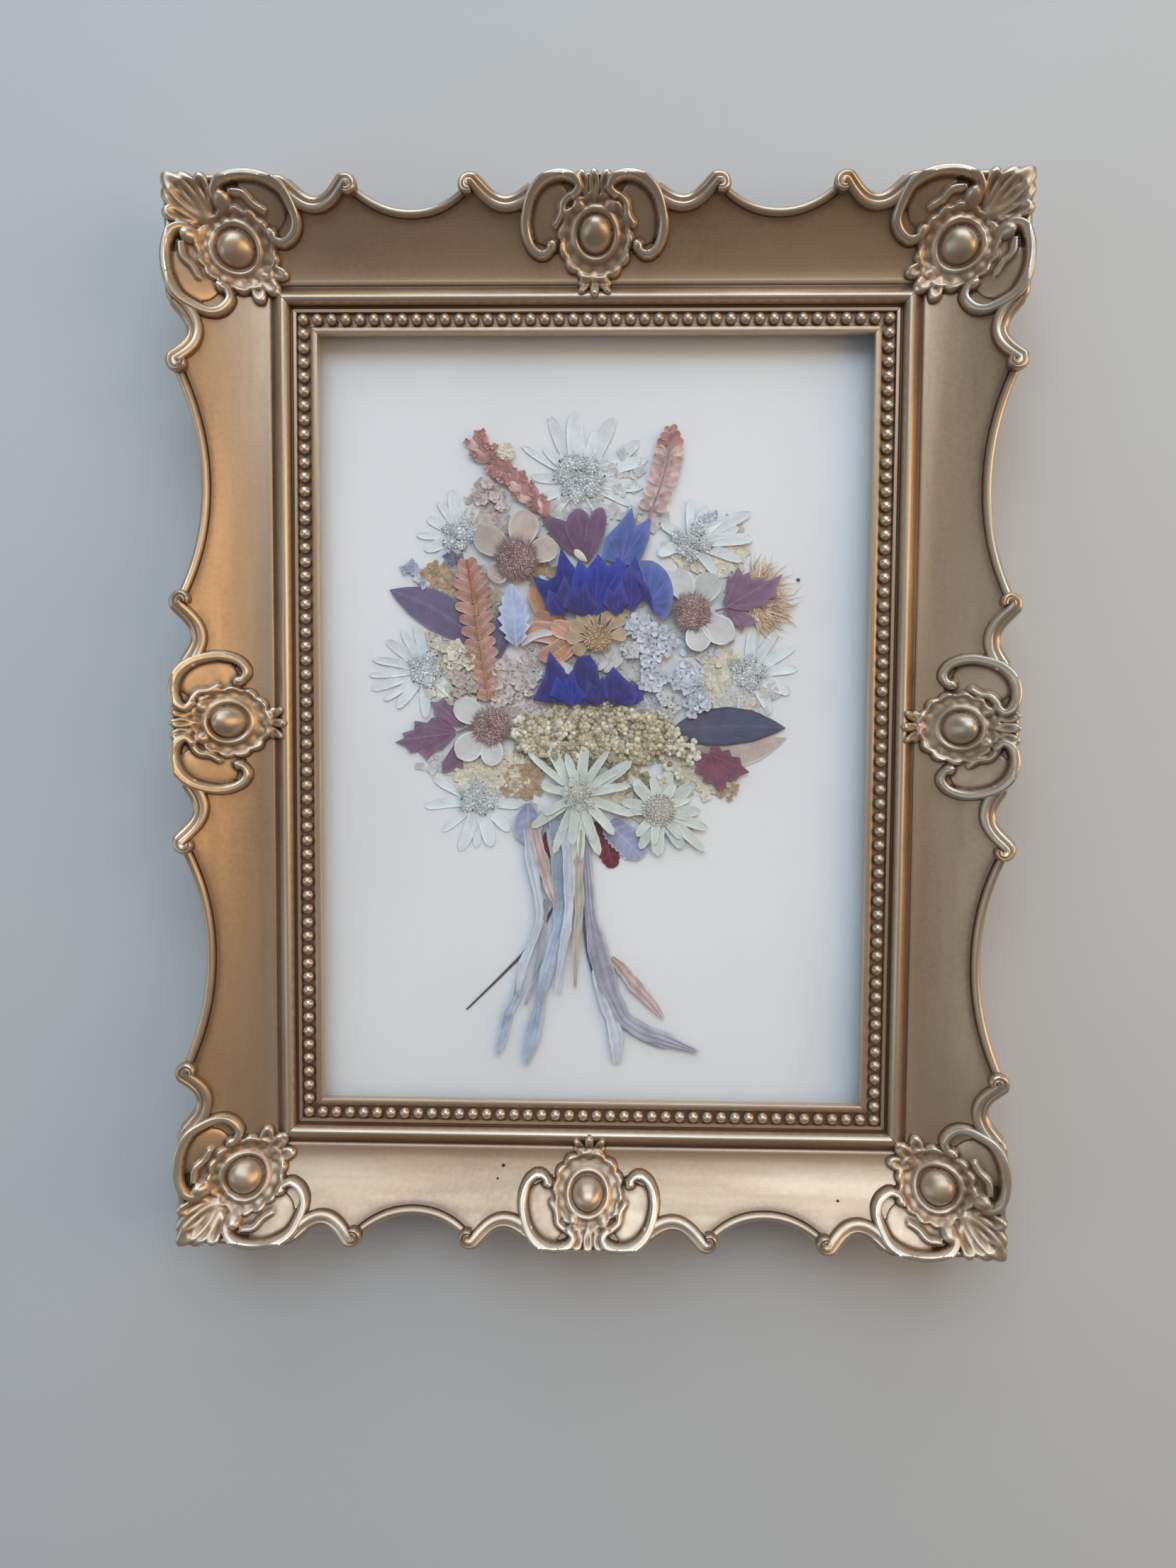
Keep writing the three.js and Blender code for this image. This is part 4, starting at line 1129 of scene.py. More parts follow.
def fibre(shape, start, end, z, width, finishIndex, rise=0.0, sag=0.0, shade=0.0):
    # one loose thread, three-sided and pointed
    start, end = np.array(start, float), np.array(end, float)
    run = end - start
    normal = leftOf(run) / (np.linalg.norm(run) + 1e-9)
    t = np.array([0, 0.5, 1.0])
    middle = start + run * t[:, None] + normal * (sag * np.sin(math.pi * t))[:, None]
    w = width * np.array([1, 0.8, 0.15])
    rows = []
    for m, half, s in zip(middle, w / 2, t):
        level = z + rise * s
        rows += [(*(m + normal * half), level), (*(m - normal * half), level), (*m, level + half * 1.6)]
    marks = np.tile([0.3, 0.6, shade, 0], (len(rows), 1))
    shape.add(rows, gridFaces(3, 3, True) + [[2, 1, 0], [6, 7, 8]], marks, finishIndex)


def wool(shape, rng, centre, inner, outer, count, z, finishIndex, length=1.1, width=0.05):
    # short pale hairs that soften an outline
    for _ in range(count):
        a = rng.uniform(0, 6.283)
        start = centre + rng.uniform(inner, outer) * heading(a)
        b = a + rng.uniform(-1.1, 1.1)
        end = start + length * rng.uniform(0.5, 1.2) * heading(b)
        fibre(shape, start, end, z + rng.uniform(0, 0.25), width, finishIndex, rng.uniform(0, 0.2),
              rng.uniform(-0.15, 0.15))


def crumpled(shape, rng, centre, radius, z, petals, finishIndex, lift=0.35, rows=5, columns=4):
    # a small pressed floret of cupped petals
    turn = rng.uniform(0, 6.28)
    for i in range(petals):
        a = turn + 2 * math.pi * i / petals + rng.uniform(-0.2, 0.2)
        r = radius * rng.uniform(0.8, 1.1)
        tip = centre + r * heading(a)
        base = centre - 0.1 * r * heading(a)
        blade(shape, base, tip, radius * 0.42, z + rng.uniform(0, 0.12), "round", finishIndex,
              lift=rng.uniform(0, lift), cup=rng.uniform(-0.1, 0.25), shade=rng.uniform(-1, 1),
              rows=rows, columns=columns, wave=0.05)


def bracts(shape, rng, centre, petals, z, hair=2):
    # narrow woolly petals round a centre: (tip x, tip y, half width)
    for x, y, half in petals:
        tip = np.array([x, y])
        run = tip - centre
        length = np.linalg.norm(run)
        root = np.array(centre) + run / length * 1.2
        bendSide = rng.uniform(-0.07, 0.07)
        blade(shape, root, tip, half, z + rng.uniform(0, 0.16), "strap", 0, lift=rng.uniform(-0.05, 0.22),
              cup=0.16, bendSide=bendSide, wave=0.05, shade=rng.uniform(-1, 1), rows=13, columns=7)
        side = leftOf(run) / length
        for _ in range(int(length * 3.5)):    # wool along both edges
            t = rng.uniform(0.15, 1.0)
            s = rng.choice([-1, 1])
            edge = half * np.interp(t, *outlines["strap"]) * 0.92
            bow = side * bendSide * math.sin(math.pi * t * 0.9) * length * 0.5
            p = root + (tip - root) * t + side * s * edge + bow
            q = p + side * s * rng.uniform(0.15, 0.5) + run / length * rng.uniform(0, 0.6)
            fibre(shape, p, q, z + 0.12, 0.05, hair, rng.uniform(0, 0.15), 0.05)


def edelweiss(shape, rng, centre, petals, z, heads, headRadius, spread, heart=1, hair=2, scale=3):
    # woolly bracts round a knot of small flower heads
    bracts(shape, rng, centre, petals, z, hair)
    for i in range(heads):
        a = 2 * math.pi * i / max(heads - 1, 1) + rng.uniform(-0.3, 0.3)
        r = 0 if i == heads - 1 else spread * rng.uniform(0.8, 1.1)
        place = centre + r * heading(a)
        size = headRadius * rng.uniform(0.8, 1.2)
        disc(shape, rng, place, size, z + 0.2, 0.5, int(14 * size), 0.3, heart, rng.uniform(0.8, 1.1))
        wool(shape, rng, place, 0, size * 1.1, 50, z + 0.55, hair, 0.8, 0.066)
        wool(shape, rng, place, size * 0.8, size * 1.3, 30, z + 0.3, hair, 0.9, 0.076)
        for _ in range(3):    # dark specks between the heads: dry scales, and painted shade in the gaps
            spot = (*(place + size * heading(rng.uniform(0, 6.28))), z + 0.5)
            beads(shape, rng, [spot], [rng.uniform(0.12, 0.26)], scale)


def ringOfTips(centre, reach, halfWidth, count, turn, rng, vary=0.12):
    tips = []
    for i in range(count):
        a = turn + 2 * math.pi * i / count + rng.uniform(-0.14, 0.14)
        r = reach * rng.uniform(1 - vary, 1 + vary)
        tips.append((*(centre + r * heading(a)), halfWidth * rng.uniform(0.8, 1.15)))
    return tips


pressing = {"cardTop": 5.32, "glassUnder": 7.94, "squeezeFrom": 7.3, "firstLayer": 5.42, "layerStep": 0.46}
layerZ = [pressing["firstLayer"] + pressing["layerStep"] * k for k in range(5)]    # five layers on the card


def pressed(name, shape, finishes, slot, replaces=True):
    # what would stand higher is squeezed flat under the glass
    room = pressing["glassUnder"] - pressing["squeezeFrom"]
    for points in shape.points:
        over = np.maximum(points[:, 2] - pressing["squeezeFrom"], 0)
        points[:, 2] = np.minimum(points[:, 2], pressing["squeezeFrom"]) + room * (1 - np.exp(-over / room))
        points[:, 2] = np.maximum(points[:, 2], pressing["cardTop"])
    makePiece("pressed_" + name, shape, [finish[f] for f in finishes], slot, [name] if replaces else ())


def fanSheet(shape, hub, rim, z, finishIndex=0, ribs=(), sharp=False, smooth=4, pleat=0.0, lift=0.0,
             shade=0.0, rows=11, streaks=0.0):
    # a petal or leaf that spreads from one point to a given margin
    hub, rim = np.array(hub, float), np.array(rim, float)
    if sharp:
        t = np.linspace(0, len(rim) - 1, (len(rim) - 1) * smooth + 1)
        line = np.stack([np.interp(t, np.arange(len(rim)), rim[:, k]) for k in (0, 1)], -1)
    else:
        line = smoothLine(rim, smooth)
    t = np.linspace(0.05, 1, rows)[:, None]
    flat = hub + (line[None] - hub) * t[:, :, None]
    vein = np.zeros(flat.shape[:2])
    for tip in ribs:
        run = np.array(tip, float) - hub
        share = np.clip(((flat - hub) @ run) / (run @ run), 0, 1)
        away = np.linalg.norm(flat - hub - share[:, :, None] * run, axis=2)
        vein = np.maximum(vein, np.exp(-(away / 0.2)**2))
    across = np.arange(len(line))[None, :] / smooth
    rise = lift * t + pleat * t * np.cos(across * math.pi) + 0.04 * vein
    vein = np.maximum(vein, streaks * np.clip(np.cos(across * 7.4 + hub[0]), 0, 1)**2 * (1 - 0.4 * t))
    top = np.dstack([flat, z + rise])
    along = t + 0 * vein
    marks = np.stack([along, along, shade + 0 * vein, vein], -1)
    closedSheet(shape, top, marks.reshape(-1, 4), finishIndex)


def newShape(seed):
    return Shape(), np.random.default_rng(seed)


# woolly flowers round the edge of the bouquet; petals are (tip x, tip y, half width)
edelweissHeads = {
    "edelweiss_top": {
        "layer": 0, "centre": (-3.1, 55.2), "heads": 9, "headRadius": 1.9, "spread": 4,
        "petals": [
            (-9.8, 69, 1.6), (-4.4, 70, 2), (4.2, 68.8, 1.6), (-16.2, 62.6, 0.9), (-14.2, 55.6, 1.2),
            (-12.8, 50.3, 1.1), (10.1, 63.7, 1.7), (12, 59.4, 1.5), (11, 53.4, 1.4), (8.6, 49.2, 1.3),
            (-9.4, 47, 1.3), (3.4, 45.2, 1.4), (0.2, 66.2, 1.2), (-11.4, 62.2, 1.2)]},
    "edelweiss_upper_left": {
        "layer": 0, "centre": (-30.2, 42.8), "heads": 6, "headRadius": 1.6, "spread": 2.9,
        "petals": [
            (-32, 52.8, 1.3), (-37.6, 46.2, 1.3), (-38.4, 39.2, 1.3), (-26.2, 50.4, 1.3), (-35.2, 50, 1),
            (-36.6, 34.8, 1.1), (-23.6, 46.6, 1.1), (-40.2, 42.6, 0.9)]},
    "edelweiss_left": {
        "layer": 0, "centre": (-38, 12.4), "heads": 6, "headRadius": 1.6, "spread": 2.7,
        "petals": [
            (-50.2, 14.4, 1), (-50.6, 7.6, 1.1), (-47, 18.8, 1.3), (-44.8, 3.4, 1.2), (-51.2, 11, 0.8),
            (-40.4, 22.6, 1.2), (-38, 1.2, 1.2), (-31, 5.8, 1.3), (-43.6, 21.4, 1), (-47.8, 5.2, 0.8)]},
    "edelweiss_bottom_left": {
        "layer": 0, "centre": (-26, -17.2), "heads": 6, "headRadius": 1.6, "spread": 2.8,
        "petals": [
            (-38.6, -19, 1.2), (-36.4, -12.4, 1.2), (-34.6, -24.6, 0.9), (-30.4, -29.2, 1.4),
            (-26.6, -28.4, 1), (-23.2, -28.2, 1.6), (-19, -24.6, 1.3), (-16, -18.4, 1.2),
            (-31.4, -8.6, 1.2)]},
    "edelweiss_upper_right": {
        "layer": 1, "centre": (21.8, 41.2), "heads": 6, "headRadius": 1.7, "spread": 3.1,
        "petals": [
            (35.2, 47.6, 1.4), (35.8, 41.8, 1.4), (33.4, 36.8, 1.2), (21.6, 50.8, 0.9), (14.4, 38.2, 1.3),
            (29.4, 47.6, 1.3), (27.6, 33.8, 1.2), (15, 45.4, 1.2), (25.4, 49.2, 0.9), (32.6, 44.4, 1.2)]},
    "edelweiss_right": {
        "layer": 0, "centre": (35.2, 11.8), "heads": 6, "headRadius": 1.6, "spread": 2.8,
        "petals": [
            (45.6, 18, 1.3), (46.2, 12.8, 1.2), (44.6, 7.2, 1.4), (40.4, 2.8, 1.2), (35.8, 21.4, 1.2),
            (41.6, 21.6, 1.1), (28.2, 7.8, 1.2), (33.4, 2.6, 1.1), (29.4, 16.4, 1.2)]},
}
for number, (name, head) in enumerate(edelweissHeads.items()):
    shape, rng = newShape(100 + number)
    edelweiss(shape, rng, np.array(head["centre"]), head["petals"], layerZ[head["layer"]], head["heads"],
              head["headRadius"], head["spread"])
    pressed(name, shape, ["feltPale", "greyHeart", "woolWhite", "darkBit"], "edelweiss_felt")
print("outer edelweiss made")

frontFlower = {
    "centre": (-3.1, -15.9), "layer": 4, "heads": 7, "headRadius": 0.95, "ring": 3, "disc": 2.3, "dots": 34,
    "outer": [
        (-10.3, -3.7, 1.3), (-1.6, -4.2, 1.2), (8.9, -8.1, 1.4), (-14.6, -6.4, 0.8), (-13.9, -23.6, 1.2),
        (-5.6, -32.6, 1.4), (-2.6, -31, 1), (1.9, -29.6, 1.3), (9.6, -20.4, 1.1), (-8.6, -29.6, 1)],
    "inner": [
        (-6, -6.6, 1), (3.6, -6, 0.9), (8.6, -13.8, 1), (5, -25, 1.1), (-4.4, -27.6, 1.1),
        (-10.8, -20.6, 0.9), (-11.6, -14.2, 0.9), (6.8, -9.6, 0.8), (0.4, -26.8, 0.8)],
}


def makeFrontFlower():
    shape, rng = newShape(120)
    f = frontFlower
    centre, z = np.array(f["centre"]), layerZ[f["layer"]]
    bracts(shape, rng, centre, f["outer"], z - 0.35)
    bracts(shape, rng, centre, f["inner"], z - 0.1)
    for i in range(f["heads"]):
        place = centre + f["ring"] * heading(2 * math.pi * i / f["heads"] + 0.3)
        disc(shape, rng, place, f["headRadius"], z + 0.1, 0.4, 20, 0.19, 1)
        wool(shape, rng, place, 0, 1.2, 34, z + 0.4, 2, 0.7)
    disc(shape, rng, centre, f["disc"], z + 0.15, 0.45, 90, 0.17, 3)
    wool(shape, rng, centre, 0, f["disc"] * 1.2, 60, z + 0.5, 2, 0.6)
    for _ in range(f["dots"]):    # dark dry scales round the heart
        a = rng.uniform(0, 6.28)
        r = f["ring"] * rng.uniform(0.7, 1.5)
        beads(shape, rng, [(*(centre + r * heading(a)), z + 0.45)], [rng.uniform(0.14, 0.3)], 4)
    finishes = ["feltWhite", "feltHeart", "woolWhite", "buffHeart", "umbelCream"]
    pressed("edelweiss_front", shape, finishes, "edelweiss_felt")


buttonFlower = {
    "centre": (15.2, -19.2), "layer": 2, "disc": 3.7, "innerReach": 7.6, "rimBeads": 30,
    "petals": [
        (25.8, -28.6, 1.2), (20.6, -28, 1.5), (15.2, -29.8, 1.6), (24.6, -19.4, 1.3), (22.4, -13.4, 1.5),
        (17.4, -10.2, 1.5), (9.4, -12.6, 1.3), (26.2, -23.4, 1.2), (10.8, -28.2, 1.2), (6.6, -17.6, 1.2)],
}


def makeButtonFlower():
    shape, rng = newShape(121)
    b = buttonFlower
    centre, z = np.array(b["centre"]), layerZ[b["layer"]]
    bracts(shape, rng, centre, b["petals"], z)
    bracts(shape, rng, centre, ringOfTips(centre, b["innerReach"], 1.1, 9, 0.4, rng), z + 0.15)
    disc(shape, rng, centre, b["disc"], z + 0.2, 0.75, 190, 0.21, 1)
    for i in range(b["rimBeads"]):    # the raised rim of the button
        place = centre + b["disc"] * 0.97 * heading(2 * math.pi * i / b["rimBeads"])
        beads(shape, rng, [(*place, z + 0.45)], [0.33], 3, 0.9, 7, 5)
    pressed("button_flower", shape, ["feltWhite", "buffHeart", "woolWhite", "umbelPale"], "edelweiss_felt")


makeFrontFlower()
makeButtonFlower()

# round-petalled flowers with rough brown hearts; petals are (tip x, tip y, half width)
openFlowers = {
    "beige_flower": {
        "centre": (-17.4, 37), "heart": 4.5, "layer": 3, "finish": "beigePetal", "slot": "beige_petal",
        "petals": [(-26.6, 43.4, 3.4), (-15, 48, 3.5), (-8, 40.2, 2.9), (-23.6, 32.8, 2.6)]},
    "white_flower_right": {
        "centre": (22.2, 25.4), "heart": 4, "layer": 3, "finish": "whitePetal", "slot": "white_petal",
        "petals": [(18.6, 34.8, 2.9), (27.2, 33.8, 3.2), (31.4, 19.4, 3.3), (24.2, 16.6, 2.9)]},
    "white_flower_left": {
        "centre": (-23, -0.6), "heart": 4.1, "layer": 2, "finish": "whitePetal", "slot": "white_petal",
        "petals": [(-31.2, 5, 3), (-30.8, -7.6, 3.2), (-23, -9.6, 2.6)]},
}


def roundPetal(shape, rng, centre, tip, halfWidth, z, finishIndex=0):
    # a broad cupped petal with a thin rolled rim
    run = np.array(tip) - centre
    start = np.array(centre) + run * 0.22
    blade(shape, start, tip, halfWidth, z, "round", finishIndex, lift=0.22, cup=0.2, wave=0.05, veins=6,
          shade=rng.uniform(-1, 1), rows=14, columns=11, bendSide=rng.uniform(-0.05, 0.05))


for number, (name, f) in enumerate(openFlowers.items()):
    shape, rng = newShape(130 + number)
    centre, z = np.array(f["centre"]), layerZ[f["layer"]]
    for x, y, half in f["petals"]:
        roundPetal(shape, rng, centre, (x, y), half, z + rng.uniform(0, 0.12))
    disc(shape, rng, centre, f["heart"], z + 0.15, 0.7, 230, 0.25, 1)
    for _ in range(150):    # ragged stamens round the heart
        a = rng.uniform(0, 2 * math.pi)
        start = centre + f["heart"] * 0.75 * heading(a)
        end = centre + f["heart"] * rng.uniform(1.0, 1.3) * heading(a + 0.1)
        fibre(shape, start, end, z + rng.uniform(0.25, 0.6), 0.24, 1, 0, 0.1, rng.uniform(-1, 1))
    pressed(name, shape, [f["finish"], "brownHeart"], f["slot"])
print("front and open flowers made")


# blue, violet and purple florets: each spreads from its hub to a toothed or lobed rim
purpleLobes = {
    # hub, tip of the middle vein, chance shade, rim
    "left": ((-1.6, 36.8), (-10.4, 45.8), -0.5, [
        (-5.8, 38.8), (-8.8, 41.6), (-11.4, 45.4), (-10.6, 46.6), (-7.6, 46), (-5.2, 44.8), (-3.8, 42)]),
    "middle": ((-1.4, 36.4), (-3.8, 47.4), 0.1, [
        (-5, 40.4), (-6.4, 44), (-5.6, 47), (-3.4, 48.3), (-1.5, 47.2), (-0.8, 44.6), (-0.6, 41)]),
    "right": ((-1.2, 36.4), (1.4, 47.8), 0.4, [
        (-2.2, 41), (-1.6, 45), (-0.2, 47.8), (1.6, 48.6), (2.7, 47.2), (2.6, 43.8), (1, 39.6)]),
}


def makePurplePetals():
    shape, rng = newShape(140)
    for k, (hub, tip, shade, rim) in enumerate(purpleLobes.values()):
        fanSheet(shape, hub, rim, layerZ[2] + 0.14 * k, 0, [tip], lift=0.12, pleat=0.03, shade=shade,
                 streaks=0.5)
    blade(shape, (-1.6, 36.6), (-4.4, 39.2), 0.85, layerZ[2] + 0.5, "round", 1, cup=-0.2)
    pressed("purple_petals", shape, ["purplePetal", "creamPetal"], "plum_petal")


cornflowerParts = {
    # flower, finish number, hub, height over the layer, rim points from left to right
    "upperFarLeft": ("upper", 0, (-6, 24.6), 0, [
        (-9.6, 24.6), (-12, 29.6), (-13.9, 33.4), (-10.4, 32.3), (-8.6, 33.2), (-7.4, 39.6), (-5.2, 36.4),
        (-4.2, 35.2)]),
    "upperRight": ("upper", 1, (8.6, 25), 0.05, [
        (3.4, 33.6), (5.6, 35.4), (6.6, 34.2), (8.4, 36), (10.2, 34), (12.4, 35.4), (12.6, 30.2)]),
    "upperMiddle": ("upper", 0, (0.2, 24.4), 0.2, [
        (-5.4, 26.6), (-4.8, 33.2), (-3.4, 36.9), (-1.4, 35), (1, 38.2), (3.2, 35.6), (6.9, 36.8),
        (6.6, 32), (6, 27.2)]),
    "upperFront": ("upper", 1, (-2.4, 24.2), 0.38, [
        (-7, 26.4), (-5.6, 30.6), (-3.8, 29), (-2.2, 31.8), (-0.6, 28.8), (1.2, 26.4)]),
    "upperLeftFront": ("upper", 1, (-6.4, 24), 0.15, [
        (-11, 26.4), (-10.2, 30.2), (-8.2, 29.4), (-6.6, 33.6), (-4.6, 29.6)]),
    "upperRightBack": ("upper", 0, (6.4, 24.8), -0.1, [
        (1.2, 31), (3.4, 34.2), (5.4, 37.6), (7.8, 35.2), (9.4, 38), (11, 33.4)]),
    "upperRightFront": ("upper", 1, (5.2, 24.2), 0.5, [
        (2.2, 27), (3.2, 30.8), (4.6, 29.6), (6.2, 32.2), (7.8, 27.4)]),
    "lowerLeft": ("lower", 1, (-8.6, 4.6), 0, [
        (-13.6, 5.4), (-11, 10.8), (-9.9, 16.6), (-8, 14.2), (-6.4, 12.4), (-5, 5.6)]),
    "lowerMiddle": ("lower", 1, (-1.8, 4.4), 0.15, [
        (-6.2, 6), (-4.8, 11.6), (-3.5, 15.2), (-0.7, 15.7), (1, 13.2), (1.6, 9.4), (2.4, 5.2)]),
    "lowerRight": ("lower", 1, (4.6, 4.4), 0.05, [
        (1.4, 6.8), (2.6, 10.6), (4.6, 13.1), (6.4, 11.2), (8.6, 9.2), (10.2, 6.8), (9.2, 4.4)]),
    "lowerRightBack": ("lower", 1, (7, 4.2), -0.05, [
        (5.4, 7.4), (7.2, 9.6), (9, 8.4), (10.8, 9.4), (11.6, 5.6)]),
    "lowerMiddleFront": ("lower", 1, (1, 4), 0.35, [
        (-2, 6.2), (-1, 9.8), (0.6, 8.6), (2.2, 11), (3.6, 6.2)]),
    "lowerFront": ("lower", 0, (-4.6, 4), 0.3, [
        (-9.8, 6.6), (-8.2, 11), (-6.6, 9.4), (-4.8, 12.2), (-3.4, 8.8), (-1.4, 6.4)]),
}


outerPetal = {
    # the long petal that curls down on the upper flower's right: two overlapping folds
    "hub": (12.4, 27.0), "tip": (15.8, 31.6),
    "folds": [([(10.2, 36.8), (13.4, 36.6), (16.4, 34.2), (17.9, 30.0), (17.3, 25.6), (15.6, 23.4)], 2),
              ([(9.6, 33.0), (11.6, 31.8), (13.0, 28.8), (13.6, 25.0)], 1)],
}
# white slivers under the lower flower: base, tip, half width
whiteSlivers = [((-4.0, 11.0), (-7.4, 14.2), 1.0), ((-3.8, 12.2), (-1.9, 14.0), 0.8),
                ((2.6, 12.0), (6.8, 15.0), 0.9), ((1.2, 12.4), (3.4, 14.6), 0.7)]
blueFloret = {
    "hub": (6.0, 36.0), "layer": 3, "tips": [(8.2, 47.2), (12.0, 45.2), (4.0, 42.0)],
    "rim": [(1.6, 37.4), (2.6, 42.0), (5.4, 44.8), (8.5, 48.6), (9.4, 44.4), (12.8, 46.4), (12.4, 41.6),
            (11.0, 37.8), (9.6, 35.6)],
    "sliver": ((8.6, 42.4), (9.7, 46.9), 0.55),
}


def makeCornflower(flower, seed):
    shape, rng = newShape(seed)
    z = layerZ[4] - 0.15
    for part, colour, hub, over, rim in cornflowerParts.values():
        if part == flower:
            tips = [p for a, p, b in zip(rim, rim[1:], rim[2:]) if p[1] > a[1] and p[1] > b[1]]
            shade = rng.uniform(-1, 1)
            fanSheet(shape, hub, rim, z + over, colour, tips, True, 6, 0.07, 0.05, shade, 12, 0.8)
    if flower == "upper":
        for k, (rim, colour) in enumerate(outerPetal["folds"]):
            level = z + 0.1 + 0.15 * k
            fanSheet(
                shape, outerPetal["hub"], rim, level, colour, [outerPetal["tip"]],
                False, 7, 0.03, 0.15, 0.5, 11, 0.8)
    else:
        for base, tip, width in whiteSlivers:
            blade(shape, base, tip, width, z - 0.1, "lance", 3, cup=0.1, shade=rng.uniform(-1, 1))
    finishes = ["cornflowerDeep", "cornflowerViolet", "floretBlue", "whitePetal"]
    pressed("cornflower_" + flower, shape, finishes, "cornflower_blue")


def makeBlueFloret():
    shape, rng = newShape(152)
    b = blueFloret
    z = layerZ[b["layer"]]
    fanSheet(shape, b["hub"], b["rim"], z, 0, b["tips"], True, 6, 0.05, 0.1, 0.2, 12, 0.7)
    base, tip, width = b["sliver"]
    blade(shape, base, tip, width, z - 0.1, "lance", 1)
    pressed("blue_floret", shape, ["floretBlue", "peachPetal"], "cornflower_blue")


makePurplePetals()
makeCornflower("upper", 150)
makeCornflower("lower", 151)
makeBlueFloret()
print("blue and purple florets made")


# lobed leaves; each part has its hub, the tips that the veins run to and its rim
lobedLeaves = {
    "maroon_leaf_right": {
        "layer": 2, "finish": "maroonLeaf", "stalk": [(27.4, 25.6), (29.4, 26.2), (31.4, 27.2)],
        "stalkOver": 0.2,
        "parts": [
            ((29.6, 26.4), [(32.4, 34.6), (41.4, 33.4), (38, 27.6)], [
                (29, 27.8), (30.2, 31), (30, 33.4), (31.3, 33.5), (32.4, 35.6), (33.5, 33.8), (35, 34.4),
                (35.2, 32.6), (38.2, 33.2), (38.8, 32.2), (42.4, 34), (41, 31), (41.2, 28.8), (39.4, 28.6),
                (38.8, 26.6), (36.8, 27), (35.4, 25.8), (32.8, 25.8)]),
            ((30.2, 26), [(35.6, 23), (33.2, 21.8)], [
                (32, 25.8), (34.6, 25), (36.8, 23.4), (36, 22.6), (34.8, 22.8), (33.4, 21), (32.4, 22.4),
                (31, 23), (30, 24.6)])]},
    "maroon_leaf_left": {
        "layer": 1, "finish": "maroonLeaf", "stalk": [(-26.6, -0.4), (-29, -1.2), (-31, -2)],
        "stalkOver": 0.1,
        "parts": [
            ((-29.4, -0.8), [(-35.6, 4.6), (-33.4, 5.2)], [
                (-29, 0.8), (-30.8, 2), (-31.2, 4), (-32.8, 4.4), (-34, 6), (-35.4, 4.8), (-37, 5),
                (-36.4, 3.4), (-36, 1.6), (-34.2, 1.2), (-32, -0.4)]),
            ((-30.8, -2), [(-44.2, -4), (-39.6, -0.4), (-37.8, -7)], [
                (-32, -0.6), (-34.4, 1), (-36.6, 1.4), (-37.8, 0.2), (-40.6, 0.6), (-40.8, -1.4),
                (-43.4, -2.2), (-43, -3.4), (-45.2, -4.4), (-42.6, -5.2), (-41.6, -6.8), (-39.8, -6.2),
                (-38, -8.2), (-36.6, -6.4), (-34.4, -6), (-32.6, -3.8)]),
            ((-30.6, -3.2), [(-33.6, -10.6), (-30, -9.6)], [
                (-31.6, -4.4), (-32.6, -7.6), (-34.4, -9), (-34.2, -11.4), (-32.2, -10.8), (-31, -9.8),
                (-29.6, -10.2), (-29.4, -7.4), (-29.2, -4.6)])]},
    "maroon_leaf_lower": {
        "layer": 2, "finish": "wineLeaf",
        "parts": [
            ((26.4, -6.6), [(23.6, -10.2), (28.8, -14.2), (34.6, -10.2), (28.4, -5.2)], [
                (24.6, -6), (22.8, -7.6), (23.6, -9.2), (23, -10.8), (25, -11), (25.2, -13), (27.4, -13.2),
                (28.4, -14.8), (30.4, -14.4), (30.4, -12.4), (32.6, -12.6), (33.4, -11.4), (35.6, -10.6),
                (33.8, -9), (33.4, -7.2), (31.6, -7.2), (31, -5.4), (29.4, -6), (28.6, -4.6),
                (26.8, -4.8)])]},
}
for number, (name, leaf) in enumerate(lobedLeaves.items()):
    shape, rng = newShape(160 + number)
    z = layerZ[leaf["layer"]]
    for hub, tips, rim in leaf["parts"]:
        fanSheet(shape, hub, rim, z + 0.1 + rng.uniform(0, 0.1), 0, tips, True, 4, 0.03, 0.05,
                 rng.uniform(-0.6, 0.6), 14)
    if "stalk" in leaf:
        strand(shape, leaf["stalk"], [0.5, 0.4], z + leaf["stalkOver"])
    pressed(name, shape, [leaf["finish"]], "maroon_leaf")


# plain and toothed leaves
simpleLeaves = {
    # finish, slot, layer and the blade
    "plum_leaf": ("plumLeaf", "plum_petal", 1, dict(
        base=(-25.8, 18.8), tip=(-46.4, 29.8), halfWidth=4.5, outline="leaf", bendSide=-0.12, cup=-0.12)),
    "silver_leaf": ("silverLeaf", "lavender_leaf", 4, dict(
        base=(-17.2, 17.4), tip=(-18.6, 31.6), halfWidth=3.1, outline="leaf", veins=7, teeth=6,
        toothDepth=0.45, cup=0.1)),
    "slate_leaf": ("slateLeaf", "slate_leaf", 1, dict(
        base=(17.6, -1.4), tip=(43.6, -0.8), halfWidth=4.4, outline="leaf", bendSide=0.07, cup=-0.14)),
    "lavender_leaf": ("lavenderLeaf", "lavender_leaf", 2, dict(
        base=(-14.6, -18), tip=(-14.8, -27.4), halfWidth=3.3, outline="round", veins=5, cup=-0.15)),
    "serrated_leaf": ("lavenderLeaf", "lavender_leaf", 1, dict(
        base=(3.8, -22.4), tip=(11.6, -30.2), halfWidth=3.3, outline="strap", veins=6, teeth=9,
        toothDepth=0.2, cup=-0.12)),
    "red_leaf": ("redLeaf", "red_leaf", 0, dict(
        base=(1.6, -22), tip=(5, -32.8), halfWidth=2.4, outline="strap", veins=6, teeth=8, toothDepth=0.25,
        cup=0.1)),
}
for name, (colour, slot, layer, cut) in simpleLeaves.items():
    shape = Shape()
    blade(shape, z=layerZ[layer] + 0.15, wave=0.04, rows=26, columns=15, **cut)
    pressed(name, shape, [colour], slot)


